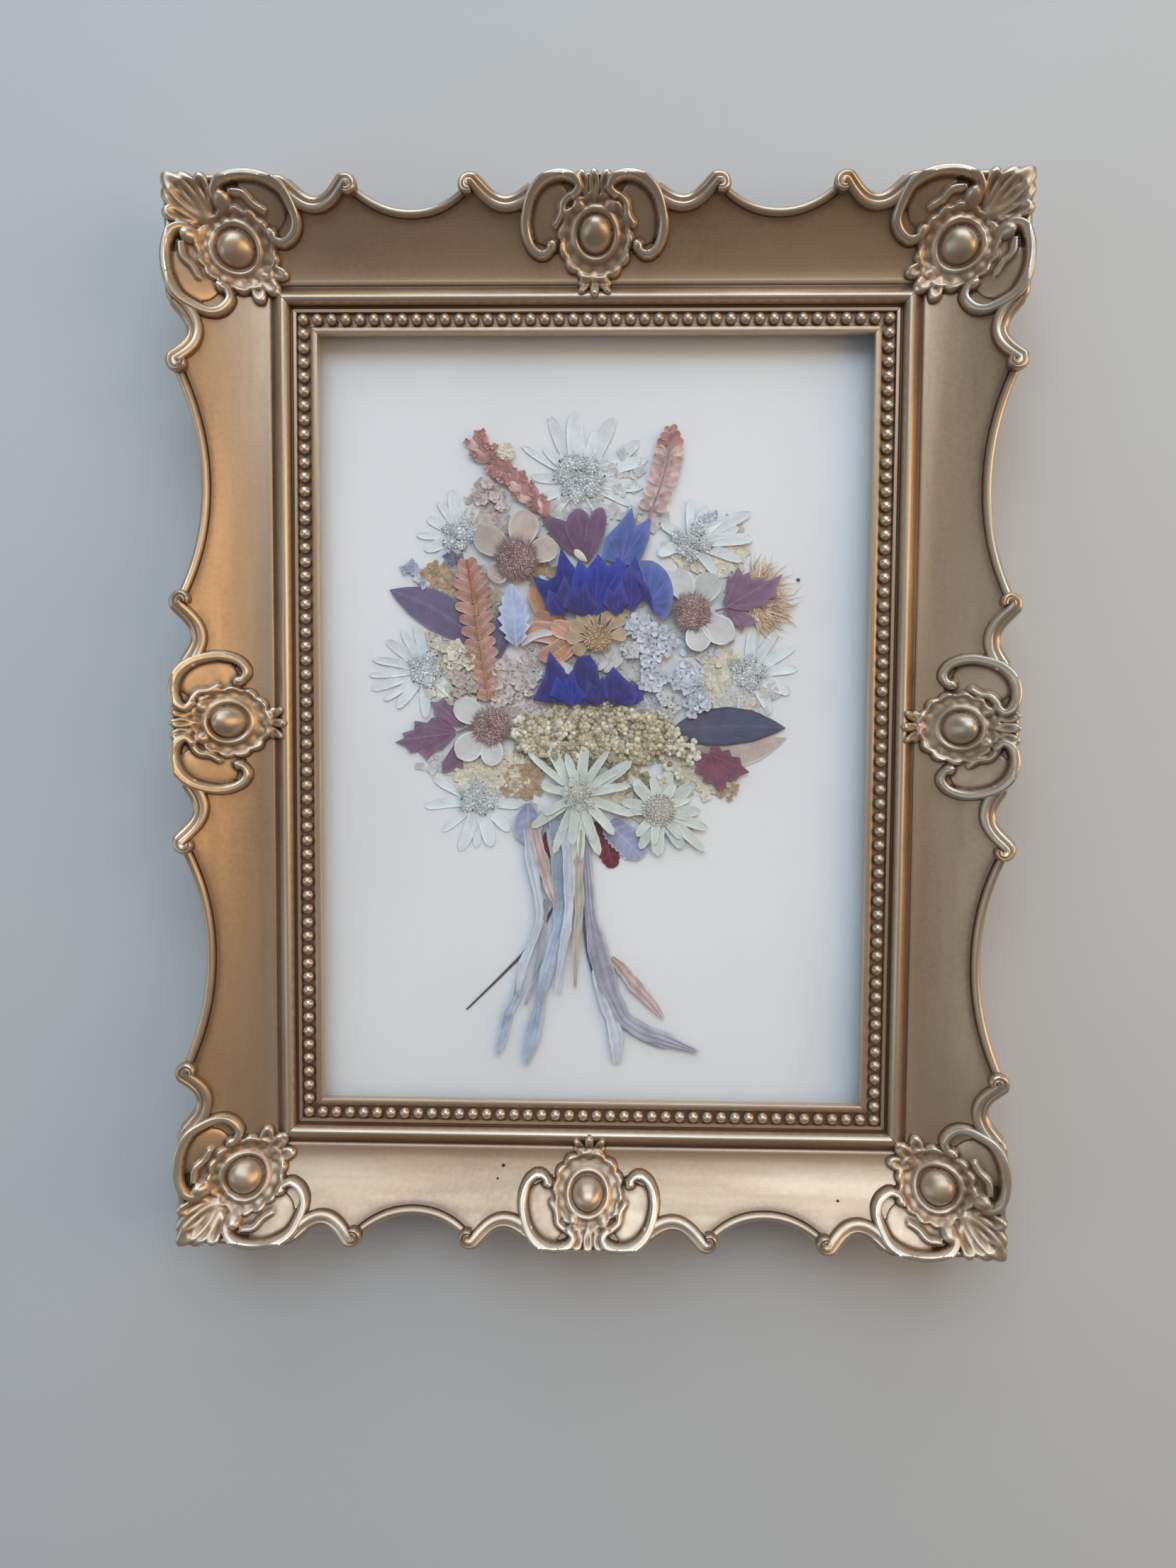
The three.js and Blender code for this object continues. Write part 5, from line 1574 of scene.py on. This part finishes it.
frond = {
    "path": [(-28.6, 37.0), (-27.2, 29.0), (-25.8, 20.0), (-24.6, 12.0), (-23.6, 5.4)],
    "reach": [1.6, 3.9, 4.3, 4.0, 3.6, 3.0, 2.2], "pairs": 13, "layer": 2,
}


def pairsAlong(sprig, first, ahead):
    # for each leaflet: share of the sprig's length, place, way it runs, way out, side, reach
    line = smoothLine(sprig["path"], 30)
    last = len(line) - 1
    for i in range(sprig["pairs"]):
        share = (i + first) / sprig["pairs"]
        k = int(share * last)
        run = line[min(k + ahead, last)] - line[k]
        run /= np.linalg.norm(run)
        for side in (-1, 1):
            yield share, line[k], run, leftOf(run) * side, side, evenly(share, sprig["reach"])


def makeFrond():
    shape, rng = newShape(180)
    z = layerZ[frond["layer"]]
    for share, at, ahead, out, side, reach in pairsAlong(frond, 0.6, 3):
        tip = at + out * reach * rng.uniform(0.9, 1.08) - ahead * reach * 0.45
        blade(shape, at + ahead * 0.2, tip, 1.25, z + rng.uniform(0, 0.15), "strap", 0, lift=0.1, cup=0.12,
              veins=4, shade=rng.uniform(-1, 1), rows=12, columns=7, bendSide=0.1 * side)
    strand(shape, frond["path"], [0.7, 0.6, 0.4], z + 0.25, 1)
    pressed("salmon_frond", shape, ["salmonFrond", "orangePetal"], "fern_salmon")


fern = {
    "path": [(17.0, 65.6), (16.6, 60.4), (15.0, 54.0), (12.0, 45.8)],
    "pairs": 9, "reach": [1.3, 3.0, 3.4, 3.3, 3.0], "layer": 2,
}


def makeFern():
    shape, rng = newShape(181)
    z = layerZ[fern["layer"]]
    for share, at, ahead, out, side, reach in pairsAlong(fern, 0.3, 2):
        place = at + out * reach * 0.42 - ahead * (0.35 + 0.5 * (side > 0))
        tip = place + out * reach * 0.55 - ahead * reach * 0.42
        width = 1.18 * (0.6 + 0.4 * min(1, share * 4))
        blade(shape, place - out * 0.8, tip, width, z + rng.uniform(0, 0.2), "round", 0 if share < 0.3 else 1,
              lift=0.2, cup=0.25, shade=rng.uniform(-1, 1), rows=10, columns=7)
    strand(shape, fern["path"], [0.3, 0.5, 0.5], z + 0.1, 0)
    pressed("fern_sprig_right", shape, ["heatherCoral", "heatherPale"], "fern_salmon")


heather = {
    "path": [(-26.0, 62.2), (-22.6, 58.4), (-18.0, 54.6), (-14.2, 50.6), (-10.4, 46.4)],
    "florets": 26, "layer": 2, "bud": (-19.8, 61.0),
    "greyFlorets": [(-24.4, 53.4), (-21.8, 51.2), (-20.2, 49.0), (-25.4, 50.8)],
}


def makeHeather():
    shape, rng = newShape(182)
    z = layerZ[heather["layer"]]
    line = smoothLine(heather["path"], 20)
    ahead = (line[0] - line[-1]) / np.linalg.norm(line[0] - line[-1])
    for i in range(heather["florets"]):
        at = line[int((len(line) - 1) * (i / heather["florets"])**1.05)]
        out = leftOf(ahead) * rng.choice([-1, 1]) * rng.uniform(0.15, 0.95)
        tip = at + (ahead * 0.9 + out) * rng.uniform(2.4, 3.3)
        level = z + 0.55 * i / heather["florets"]
        blade(shape, at - (ahead + out) * 0.6, tip, rng.uniform(1.15, 1.6), level, "round", 0 if i % 4 else 3,
              lift=0.1, cup=-0.3, shade=rng.uniform(-1, 1), veins=3, rows=12, columns=9)
        crumpled(shape, rng, tip, 0.9, level, 4, 0)
    for k in range(9):    # the cream bud at the tip
        crumpled(shape, rng, heather["bud"] + 0.9 * heading(0.7 * k), 1.3, z + 0.1, 4, 1)
    for place in heather["greyFlorets"]:
        for _ in range(3):
            crumpled(shape, rng, place + rng.uniform(-0.8, 0.8, 2), 1.4, z, 5, 2)
    strand(shape, heather["path"], [0.3, 0.5], z, 0)
    pressed("heather_sprig", shape, ["heatherCoral", "creamPetal", "pinkFloret", "heatherPale"],
            "heather_pink")


makeFrond()
makeFern()
makeHeather()
print("leaves and sprigs made")


# loose heads of small crumpled florets: places are (x, y, spread x, spread y, florets, size, finish number)
floretHeads = {
    "grey_florets_upper": dict(layer=2, slot="grey_floret", finishes=["greyFloret", "whitePetal"], places=[
        (10.6, 21.6, 3, 2.6, 13, 1.5, 0), (15.2, 18.8, 3, 3, 15, 1.4, 0), (8.4, 17.2, 2, 1.6, 6, 1.2, 1),
        (12.6, 15.6, 2.2, 1.6, 7, 1.3, 0)]),
    "grey_florets_lower": dict(layer=2, slot="grey_floret", finishes=["greyFloret", "whitePetal"], places=[
        (21.4, 10.8, 3.6, 3.2, 17, 1.5, 0), (23.6, 5.4, 2.8, 2.6, 12, 1.3, 0),
        (13.6, 10.4, 2.8, 3, 12, 1.35, 0), (17, 4.4, 2.4, 2.4, 8, 1.2, 1)]),
    "pink_florets": dict(layer=1, slot="grey_floret", finishes=["pinkFloret", "whitePetal"], places=[
        (-19.6, 12, 2.6, 2.8, 12, 1.6, 0), (-20.8, 6.8, 2.6, 2.6, 10, 1.5, 0),
        (-15.6, 8.4, 2, 2.4, 8, 1.3, 0), (-13.2, 10.6, 1.5, 2, 8, 1, 1)]),
    "beige_florets": dict(layer=1, slot="tan_petal", finishes=["creamPetal", "beigePetal"], places=[
        (-30.4, 15.2, 3.2, 2.8, 15, 1.4, 0), (-28.8, 9.4, 3, 2.6, 12, 1.4, 1),
        (-35, 17.4, 2.2, 1.8, 7, 1.1, 0)]),
}
for number, (name, head) in enumerate(floretHeads.items()):
    shape, rng = newShape(190 + number)
    z = layerZ[head["layer"]]
    for x, y, spreadX, spreadY, count, size, colour in head["places"]:
        for place in scatter(rng, (x, y), spreadX, count, spreadY / spreadX):
            crumpled(shape, rng, place, size * rng.uniform(0.8, 1.2), z + rng.uniform(0, 0.45), 5, colour)
            if rng.uniform() < 0.5:    # a dark eye in half of them
                beads(shape, rng, [(*(place + rng.uniform(-0.3, 0.3, 2)), z + 0.55)], [0.17], 2, 0.8)
    pressed(name, shape, head["finishes"] + ["darkBit"], head["slot"])

umbel = {
    "layer": 3, "centre": (1.2, -2.6), "spread": (18.6, 6.6), "clumps": 130, "bed": 90,
    "seeds": 7, "seedRadius": (0.42, 0.8), "clumpRadius": 1.05,
    "flowerGap": ((-13, 11), -7.6),    # left and right ends and top of the place that the front flower takes
    "paleClumps": [
        (18.4, -1.4), (20.6, -3.6), (22.6, -4.6), (20.4, -6.6), (17.6, -5.6), (21.8, -8.2), (17.0, -9.4),
        (19.6, -11.0), (15.8, -12.6), (23.6, -6.8), (-16.4, 0.8), (-17.2, -2.2), (-15.0, -4.6)],
}


def makeUmbel():
    # flat heads of tiny seed-like florets with paler clumps at both ends
    shape, rng = newShape(200)
    u = umbel
    z, wide, flatter = layerZ[u["layer"]] - 0.45, u["spread"][0], u["spread"][1] / u["spread"][0]
    clumps = [(place, 0) for place in scatter(rng, u["centre"], wide, u["clumps"], flatter)]
    clumps += [(np.array(place), 1) for place in u["paleClumps"]]
    for place in scatter(rng, u["centre"], wide, u["bed"], flatter):
        crumpled(shape, rng, place, 1.8, z - 0.1, 4, 0, rows=4, columns=3)
    (gapLeft, gapRight), gapTop = u["flowerGap"]
    for place, colour in clumps:
        if place[1] < gapTop and gapLeft < place[0] < gapRight:
            continue
        level = z + rng.uniform(0, 0.35)
        for k in range(u["seeds"]):
            a = 2 * math.pi * k / u["seeds"] + rng.uniform(-0.5, 0.5)
            r = u["clumpRadius"] * rng.uniform(0.5, 1.1) if k else 0
            spot = (*(place + r * heading(a)), level + 0.25 * rng.uniform())
            beads(shape, rng, [spot], [rng.uniform(*u["seedRadius"])],
                  colour if rng.uniform() < 0.8 else 1 - colour, 0.5, 7, 5)
            if k % 3 == 0:
                beads(shape, rng, [np.add(spot, (0, 0, 0.22))], [0.15], 2, 0.8, 5, 3)
        stalk = [place, place + rng.uniform(-1.2, 1.2, 2)]
        strand(shape, stalk, [0.2, 0.16], level - 0.3, 2, steps=2, around=5)
    pressed("cream_umbel", shape, ["umbelCream", "umbelPale", "tanHeart"], "tan_petal")


tanDaisy = {
    "centre": (1.0, 19.4), "layer": 3, "heart": 3.1,
    "rays": [
        (-5.4, 23.0), (-3.2, 25.6), (-0.2, 27.2), (3.8, 26.8), (7.0, 24.6), (7.6, 20.6), (-6.2, 19.6),
        (-4.4, 16.2)],
}


def makeTanDaisy():
    shape, rng = newShape(210)
    centre, z = np.array(tanDaisy["centre"]), layerZ[tanDaisy["layer"]] + 0.1
    for x, y in tanDaisy["rays"]:
        run = np.array([x, y]) - centre
        blade(shape, centre + run * 0.25, (x, y), 1.6, z + rng.uniform(0, 0.15), "wedge", 0, cup=0.18,
              veins=3, shade=rng.uniform(-1, 1), wave=0.04, rows=14, columns=9)
    disc(shape, rng, centre, tanDaisy["heart"], z + 0.2, 0.55, 150, 0.22, 1)
    pressed("tan_daisy", shape, ["tanPetal", "tanHeart"], "tan_petal")


orangePetals = {
    # base, tip, half width, finish number, sideways bend
    "petals": [((-9.0, 22.6), (-13.6, 31.4), 2.2, 0, 0.1), ((-7.8, 24.0), (-9.2, 30.6), 1.8, 0, -0.1),
               ((-6.2, 22.6), (-13.4, 24.6), 1.7, 0, 0.0), ((-5.2, 18.6), (-16.6, 20.2), 2.5, 1, -0.25),
               ((-4.4, 20.0), (-12.6, 15.2), 2.1, 1, 0.2), ((-3.0, 20.8), (-9.6, 22.4), 2.2, 1, 0.1),
               ((-4.6, 17.4), (-9.8, 14.4), 1.5, 0, 0.1), ((-16.2, 18.0), (-8.8, 20.2), 0.9, 2, 0.3)],
    "layer": 2,
}


def makeOrangePetals():
    shape, rng = newShape(211)
    for k, (base, tip, width, colour, bendSide) in enumerate(orangePetals["petals"]):
        blade(shape, base, tip, width, layerZ[orangePetals["layer"]] + 0.07 * k, "strap", colour, lift=0.1,
              cup=0.25, bendSide=bendSide, veins=5, shade=rng.uniform(-1, 1), wave=0.06, rows=16, columns=11)
    pressed("orange_petals", shape, ["orangePetal", "peachPetal", "whitePetal"], "orange_petal")


tanFibres = {
    "centre": (35.8, 28.2), "layer": 0, "count": 210, "fan": (-1.5, 1.75), "length": (2.4, 6.4), "root": 6.2,
    "speck": (46.0, 32.8), "speckRadius": 0.42,
}


def makeTanFibres():
    shape, rng = newShape(212)
    centre, z = np.array(tanFibres["centre"]), layerZ[tanFibres["layer"]]
    for _ in range(tanFibres["count"]):
        a = rng.uniform(*tanFibres["fan"])
        start = centre + rng.uniform(0, tanFibres["root"]) * heading(a)
        length = rng.uniform(*tanFibres["length"])
        end = start + length * heading(a + rng.normal(0, 0.5))
        fibre(shape, start, end, z + rng.uniform(0, 0.5), rng.uniform(0.16, 0.4), 0, rng.uniform(-0.1, 0.2),
              rng.normal(0, 0.8), rng.uniform(-1, 1))
    for place in scatter(rng, centre + [-1.4, 0.4], 5.4, 40):
        crumpled(shape, rng, place, 1.1, z + rng.uniform(0, 0.2), 4, 1)
    beads(shape, rng, [(*tanFibres["speck"], z + 0.15)], [tanFibres["speckRadius"]], 2, 0.7, 9, 6)
    pressed("tan_fibres_right", shape, ["fibreTan", "peachPale", "darkBit"], "tan_petal")


makeUmbel()
makeTanDaisy()
makeOrangePetals()
makeTanFibres()
print("floret heads made")


# stems pressed flat: finish number, folds, then (x, y, width) from the flowers down
stems = {
    "stem_salmon": dict(layer=2, slot="stem_salmon", finishes=["stemSalmon", "whitePetal"], ribbons=[
        (0, 2, [
            (-13.6, -22, 2), (-12.6, -27.6, 2.6), (-11, -32.6, 2.7), (-9.4, -37.2, 2.3),
            (-7.6, -42.6, 0.9)]),
        (1, 1, [(-10.2, -24, 0.8), (-9, -30, 0.9), (-7.9, -36.4, 0.4)])]),
    "stem_left": dict(
        layer=1, slot="stem_grey", finishes=["stemBlue", "stemGrey", "stemPale", "slateLeaf"], ribbons=[
        (0, 3, [
            (-8.2, -22, 2.6), (-7.8, -30, 3.6), (-7.5, -40, 3.4), (-7.6, -46, 3), (-8.8, -51, 3.2),
            (-10.2, -57, 3), (-11, -61, 2.1), (-12, -66.4, 2.8), (-13.3, -72, 3.2), (-15, -78, 1.5)]),
        (2, 2, [
            (-15, -24, 2), (-13.8, -31, 2.4), (-12.2, -38.4, 2), (-11.7, -44.4, 1.7), (-13.4, -49.4, 1.8),
            (-15.6, -54.4, 1.9), (-16.8, -61.4, 1.2)]),
        (1, 1, [(-10.4, -40, 1.1), (-11.6, -50, 1.2), (-12.9, -58.4, 1), (-15.2, -64.4, 0.6)]),
        (0, 2, [
            (-15.8, -54, 1.6), (-16.9, -61.6, 2), (-18.9, -66.6, 2.1), (-20.1, -71.2, 2.2),
            (-21.6, -76, 1.2)]),
        (3, 1, [(-8.2, -27, 0.7), (-7.7, -30.6, 0.9), (-7.8, -34, 0.4)]),
        (3, 1, [(-7.7, -40.4, 0.8), (-7.6, -43.6, 0.5)])]),
    "stem_centre": dict(layer=3, slot="stem_grey", finishes=["stemPale", "stemTan"], ribbons=[
        (0, 2, [(-5.4, -24, 2.9), (-5.2, -34, 2.4), (-5.6, -44, 2.1), (-6.6, -52, 1.8), (-7.6, -61, 1)]),
        (1, 2, [(-2.4, -24, 1.6), (-2.8, -34, 2.2), (-3, -41, 2.1), (-3.4, -49, 1.6), (-3.6, -60, 0.7)])]),
    "stem_right": dict(
        layer=1, slot="stem_grey", finishes=["stemGrey", "stemPale", "stemSalmon", "slateLeaf"], ribbons=[
        (0, 3, [
            (-1, -22, 1.2), (-1.2, -28, 1.5), (-0.7, -35, 2), (-0.1, -44, 3), (1.1, -51, 4.4),
            (2.9, -58.6, 4.6), (5.2, -63.8, 4.2), (8.2, -68, 3.6), (12.6, -70.4, 3.4), (17, -71.8, 3.2),
            (24, -74.6, 1.3)]),
        (1, 2, [(1.6, -56, 2.4), (2.9, -61.6, 3), (4.4, -67, 3.3), (5.8, -73, 3), (6.2, -78, 1.5)]),
        (2, 2, [(4.4, -53.4, 1.4), (8.2, -57.4, 3), (12, -61.4, 2.8), (16.2, -66.8, 1.1)]),
        (0, 1, [(6.4, -66.6, 1.6), (9.2, -70, 2), (13.4, -72.4, 1.6), (17, -74, 0.8)]),
        (3, 1, [(-1.6, -40, 0.3), (-1.4, -50, 0.6), (0.8, -58, 0.7), (4, -64.4, 0.6), (8.6, -70.2, 0.3)])]),
    "stem_thin": dict(layer=0, slot="stem_dark", finishes=["stemDark"], strands=[
        [(-9, -42, 0.5), (-11, -46.2, 0.75), (-14.8, -51.6, 0.7), (-20.2, -57.4, 0.6), (-28.8, -66, 0.4)]]),
}


def ribbon(shape, rng, path, widths, z, finishIndex, folds):
    # a flattened stem, creased along its length and torn at its end
    line = smoothLine(path, 8)
    s = np.linspace(0, 1, len(line))[:, None]
    u = np.linspace(-1, 1, 14)[None, :]
    width = evenly(s, widths)
    ahead = headings(line)
    phase = rng.uniform(0, 6.28, 4)
    edge = 1 + 0.10 * np.sin(s * 19 + phase[0]) + 0.07 * np.sin(s * 47 + phase[1] + u)
    side = width / 2 * u * edge + 0.12 * width * np.sin(s * 7 + phase[2])
    torn = rng.uniform(-0.6, 0.9, u.shape) * widths[-1] * np.clip((s - 0.93) / 0.07, 0, 1)
    crease = np.cos(u * math.pi * folds + 0.9 * np.sin(s * 8 + phase[3]))
    x = line[:, :1] - ahead[:, 1:] * side + ahead[:, :1] * torn
    y = line[:, 1:] + ahead[:, :1] * side + ahead[:, 1:] * torn
    top = np.stack([x, y, z + 0.10 * (1 - u**2) + 0.10 * crease + 0 * s], -1)
    tone = 0.6 * np.sin(s * 11 + phase[0]) + 0.4 * np.sin(s * 29 + 3 * u)
    # the crease valleys are darkened as painted shade; the finer lengthwise lines are the stem's own colour
    streaks = np.clip(-crease, 0, 1)**2 * 0.8 + 0.35 * np.clip(np.cos(u * 23 + phase[1]), 0, 1)**3
    marks = np.stack([u**2 + 0 * s, s + 0 * u, tone, streaks], -1)
    closedSheet(shape, top, marks.reshape(-1, 4), finishIndex)


def splitFibres(shape, rng, path, widths, z, finishIndex):
    # fine fibres that have split off a ribbon's edges
    for _ in range(len(path) * 3):
        t = rng.uniform(0.5, len(path) - 1.01)
        run = np.subtract(path[int(t) + 1], path[int(t)])
        at = path[int(t)] + run * (t % 1)
        run = run / np.linalg.norm(run)
        reach = np.interp(t, np.arange(len(widths)), widths) * 0.48 * rng.choice([-1, 1])
        edge = leftOf(run) * reach
        fibre(shape, at + edge, at + edge * 1.2 + run * rng.uniform(1.0, 2.8), z, 0.08, finishIndex, 0,
              rng.uniform(-0.15, 0.15), 1)


def makeStems():
    for number, (name, stem) in enumerate(stems.items()):
        shape, rng = newShape(220 + number)
        z = layerZ[stem["layer"]] + 0.1
        for run in stem.get("strands", []):
            path, widths = np.array(run)[:, :2], np.array(run)[:, 2]
            strand(shape, path, widths, z, flat=0.42, around=9)
        ribbons = stem.get("ribbons", [])
        for k, (colour, folds, run) in enumerate(ribbons):
            path, widths = np.array(run)[:, :2], np.array(run)[:, 2]
            level = z + 0.12 * (len(ribbons) - k)
            ribbon(shape, rng, path, widths, level, colour, folds)
            if widths[-1] >= 1:
                splitFibres(shape, rng, path, widths, level, colour)
        pressed(name, shape, stem["finishes"], stem["slot"])


# scraps between the named flowers: (x, y, spread x, spread y, count, size, finish number)
scraps = {
    "scraps_khaki": dict(
        layer=0, slot="tan_petal", finishes=["tanPetal", "creamPetal", "umbelCream"], places=[
        (-35.6, 33.6, 3.6, 2.4, 14, 1.5, 0), (-31, 28.6, 3.4, 4, 14, 1.6, 0),
        (-22.6, 24.8, 3.2, 5, 16, 1.5, 2), (29.4, 37, 4.4, 3, 16, 1.5, 1), (28, 12.4, 3.4, 5.4, 20, 1.5, 1),
        (-28.6, 7.6, 4.4, 4, 18, 1.5, 0), (-17, -12, 3.6, 3, 18, 1.4, 0), (-25.6, -8.2, 4, 3.4, 16, 1.5, 1),
        (-8, -8, 5.6, 3.4, 20, 1.4, 2), (9.8, -14, 4.6, 4, 20, 1.4, 2), (20.6, -8.4, 4.2, 4.4, 20, 1.5, 1),
        (30, -14.4, 3.4, 2.2, 12, 1, 0), (-13.6, 35.4, 4, 3.8, 14, 1.6, 0), (4.6, 30, 8.4, 4.6, 26, 1.6, 1),
        (0, -4.4, 19, 5.6, 110, 1.5, 2), (-24, -11, 9, 5.4, 46, 1.6, 1),
        (-15.6, -13.4, 4.4, 3.6, 20, 1.5, 0), (25, 38.4, 9, 4, 34, 1.5, 1),
        (25.6, -12.6, 5.4, 3.6, 22, 1.5, 1), (-31.6, 10, 5.6, 7, 34, 1.6, 1),
        (30.6, 9.6, 6.4, 7, 34, 1.6, 1), (10, -17, 6, 4.6, 26, 1.5, 1)]),
    "scraps_pale": dict(
        layer=0, slot="grey_floret", finishes=["whitePetal", "pinkFloret", "greyFloret"], places=[
        (-11, 9, 6.4, 5.4, 40, 1.6, 1), (4, 12, 8, 4.6, 44, 1.6, 0), (-12.6, 15, 3.4, 5, 20, 1.5, 1),
        (-6.4, 15.4, 4.4, 4, 22, 1.5, 1), (12.4, 4.6, 5.4, 4.4, 26, 1.5, 2), (16.6, 24.4, 4, 5, 22, 1.6, 0),
        (25, 19.4, 5, 4.6, 24, 1.5, 2), (31.4, 5.6, 4.4, 3.4, 18, 1.5, 0),
        (-23.4, 43.8, 4.6, 3.8, 20, 1.5, 1), (10.6, 46, 5, 3.4, 20, 1.5, 0),
        (-10.6, 44.6, 4.4, 3.4, 16, 1.5, 0), (-33.6, 22.4, 5, 3.2, 20, 1.4, 1),
        (-18.6, 1.6, 3.6, 3.6, 16, 1.4, 1), (15, -3.6, 6, 5, 26, 1.3, 2),
        (-36.6, -8.8, 3.4, 2.4, 9, 1.3, 0), (28, 43, 5.4, 4.2, 24, 1.4, 0),
        (-20.6, -13.6, 4, 3.2, 14, 1.4, 0), (-2.6, 48.6, 8, 3.4, 26, 1.5, 0), (6.6, 56, 4.4, 5, 16, 1.4, 0),
        (-24.6, 49.4, 4.6, 5.4, 26, 1.5, 1), (-28, 33.4, 4, 3.4, 16, 1.4, 1), (37, 8, 5, 5.4, 22, 1.3, 0),
        (19.4, -22.6, 4.4, 4, 16, 1.4, 0), (-12.4, -22.6, 3.6, 4.6, 12, 1.4, 0)]),
    "scraps_lavender": dict(
        layer=1, slot="grey_floret", finishes=["lavenderLeaf", "greyFloret", "plumLeaf"], places=[
        (-41.4, 35.2, 1.5, 1.5, 6, 1.2, 0), (-39, 32.4, 1.2, 1, 3, 1.1, 1),
        (-31.6, 37.2, 2.4, 1.4, 8, 1, 2), (26.6, 46, 2.2, 1.6, 6, 1.1, 1), (10, 31.6, 2.2, 2.2, 8, 1.2, 2),
        (9.8, 7.4, 2, 2.4, 8, 1.1, 2)]),
}


scrapLeaves = {
    # finish, slot, layer and the blade
    "scrap_greyPurpleLeaf": ("plumLeaf", "plum_petal", 1, dict(
        base=(-21.8, 14.6), tip=(-20.2, 26.6), halfWidth=2.2, outline="leaf", shade=-0.5, veins=5)),
    "scrap_tanLeaf": ("beigePetal", "tan_petal", 0, dict(
        base=(21, -6.6), tip=(43.8, -2.2), halfWidth=3.4, outline="leaf", bendSide=-0.16, veins=6, rows=22,
        columns=11)),
    "scrap_smallRedLeaf": ("redLeaf", "red_leaf", 1, dict(
        base=(-10.2, -24.6), tip=(-9.2, -30.4), halfWidth=1.3, outline="strap", teeth=5, toothDepth=0.2)),
}


def makeScraps():
    for number, (name, scrap) in enumerate(scraps.items()):
        shape, rng = newShape(230 + number)
        z = layerZ[scrap["layer"]]
        for x, y, spreadX, spreadY, count, size, colour in scrap["places"]:
            for place in scatter(rng, (x, y), spreadX, int(count * 0.75), spreadY / spreadX):
                radius = size * rng.uniform(0.95, 1.3)
                crumpled(shape, rng, place, radius, z + rng.uniform(-0.02, 0.16), 4, colour, 0.2, 4, 3)
        pressed(name, shape, scrap["finishes"], scrap["slot"], False)
    for name, (colour, slot, layer, cut) in scrapLeaves.items():
        shape = Shape()
        blade(shape, z=layerZ[layer] + (0.2 if layer else 0.15), **cut)
        pressed(name, shape, [colour], slot, False)


makeStems()
makeScraps()
print("stems and scraps made")


# specks stuck on the lower moulding: place, radius
dirt = [((-19.4, -99.6), 0.42), ((-20.6, -102.2), 0.3), ((55.4, -105.4), 0.36), ((-14.0, -104.0), 0.2)]


def placeDirt():
    shape, rng = newShape(250)
    for place, size in dirt:
        out = -place[1] - rail["sightHeight"] / 2
        beads(shape, rng, [(*place, faceHeight(out) + 0.05)], [size], 0, 0.5, 9, 6)
    makePiece("dirtSpecks", shape, [finish["darkBit"]], "stem_dark")


placeDirt()

print("scene made")
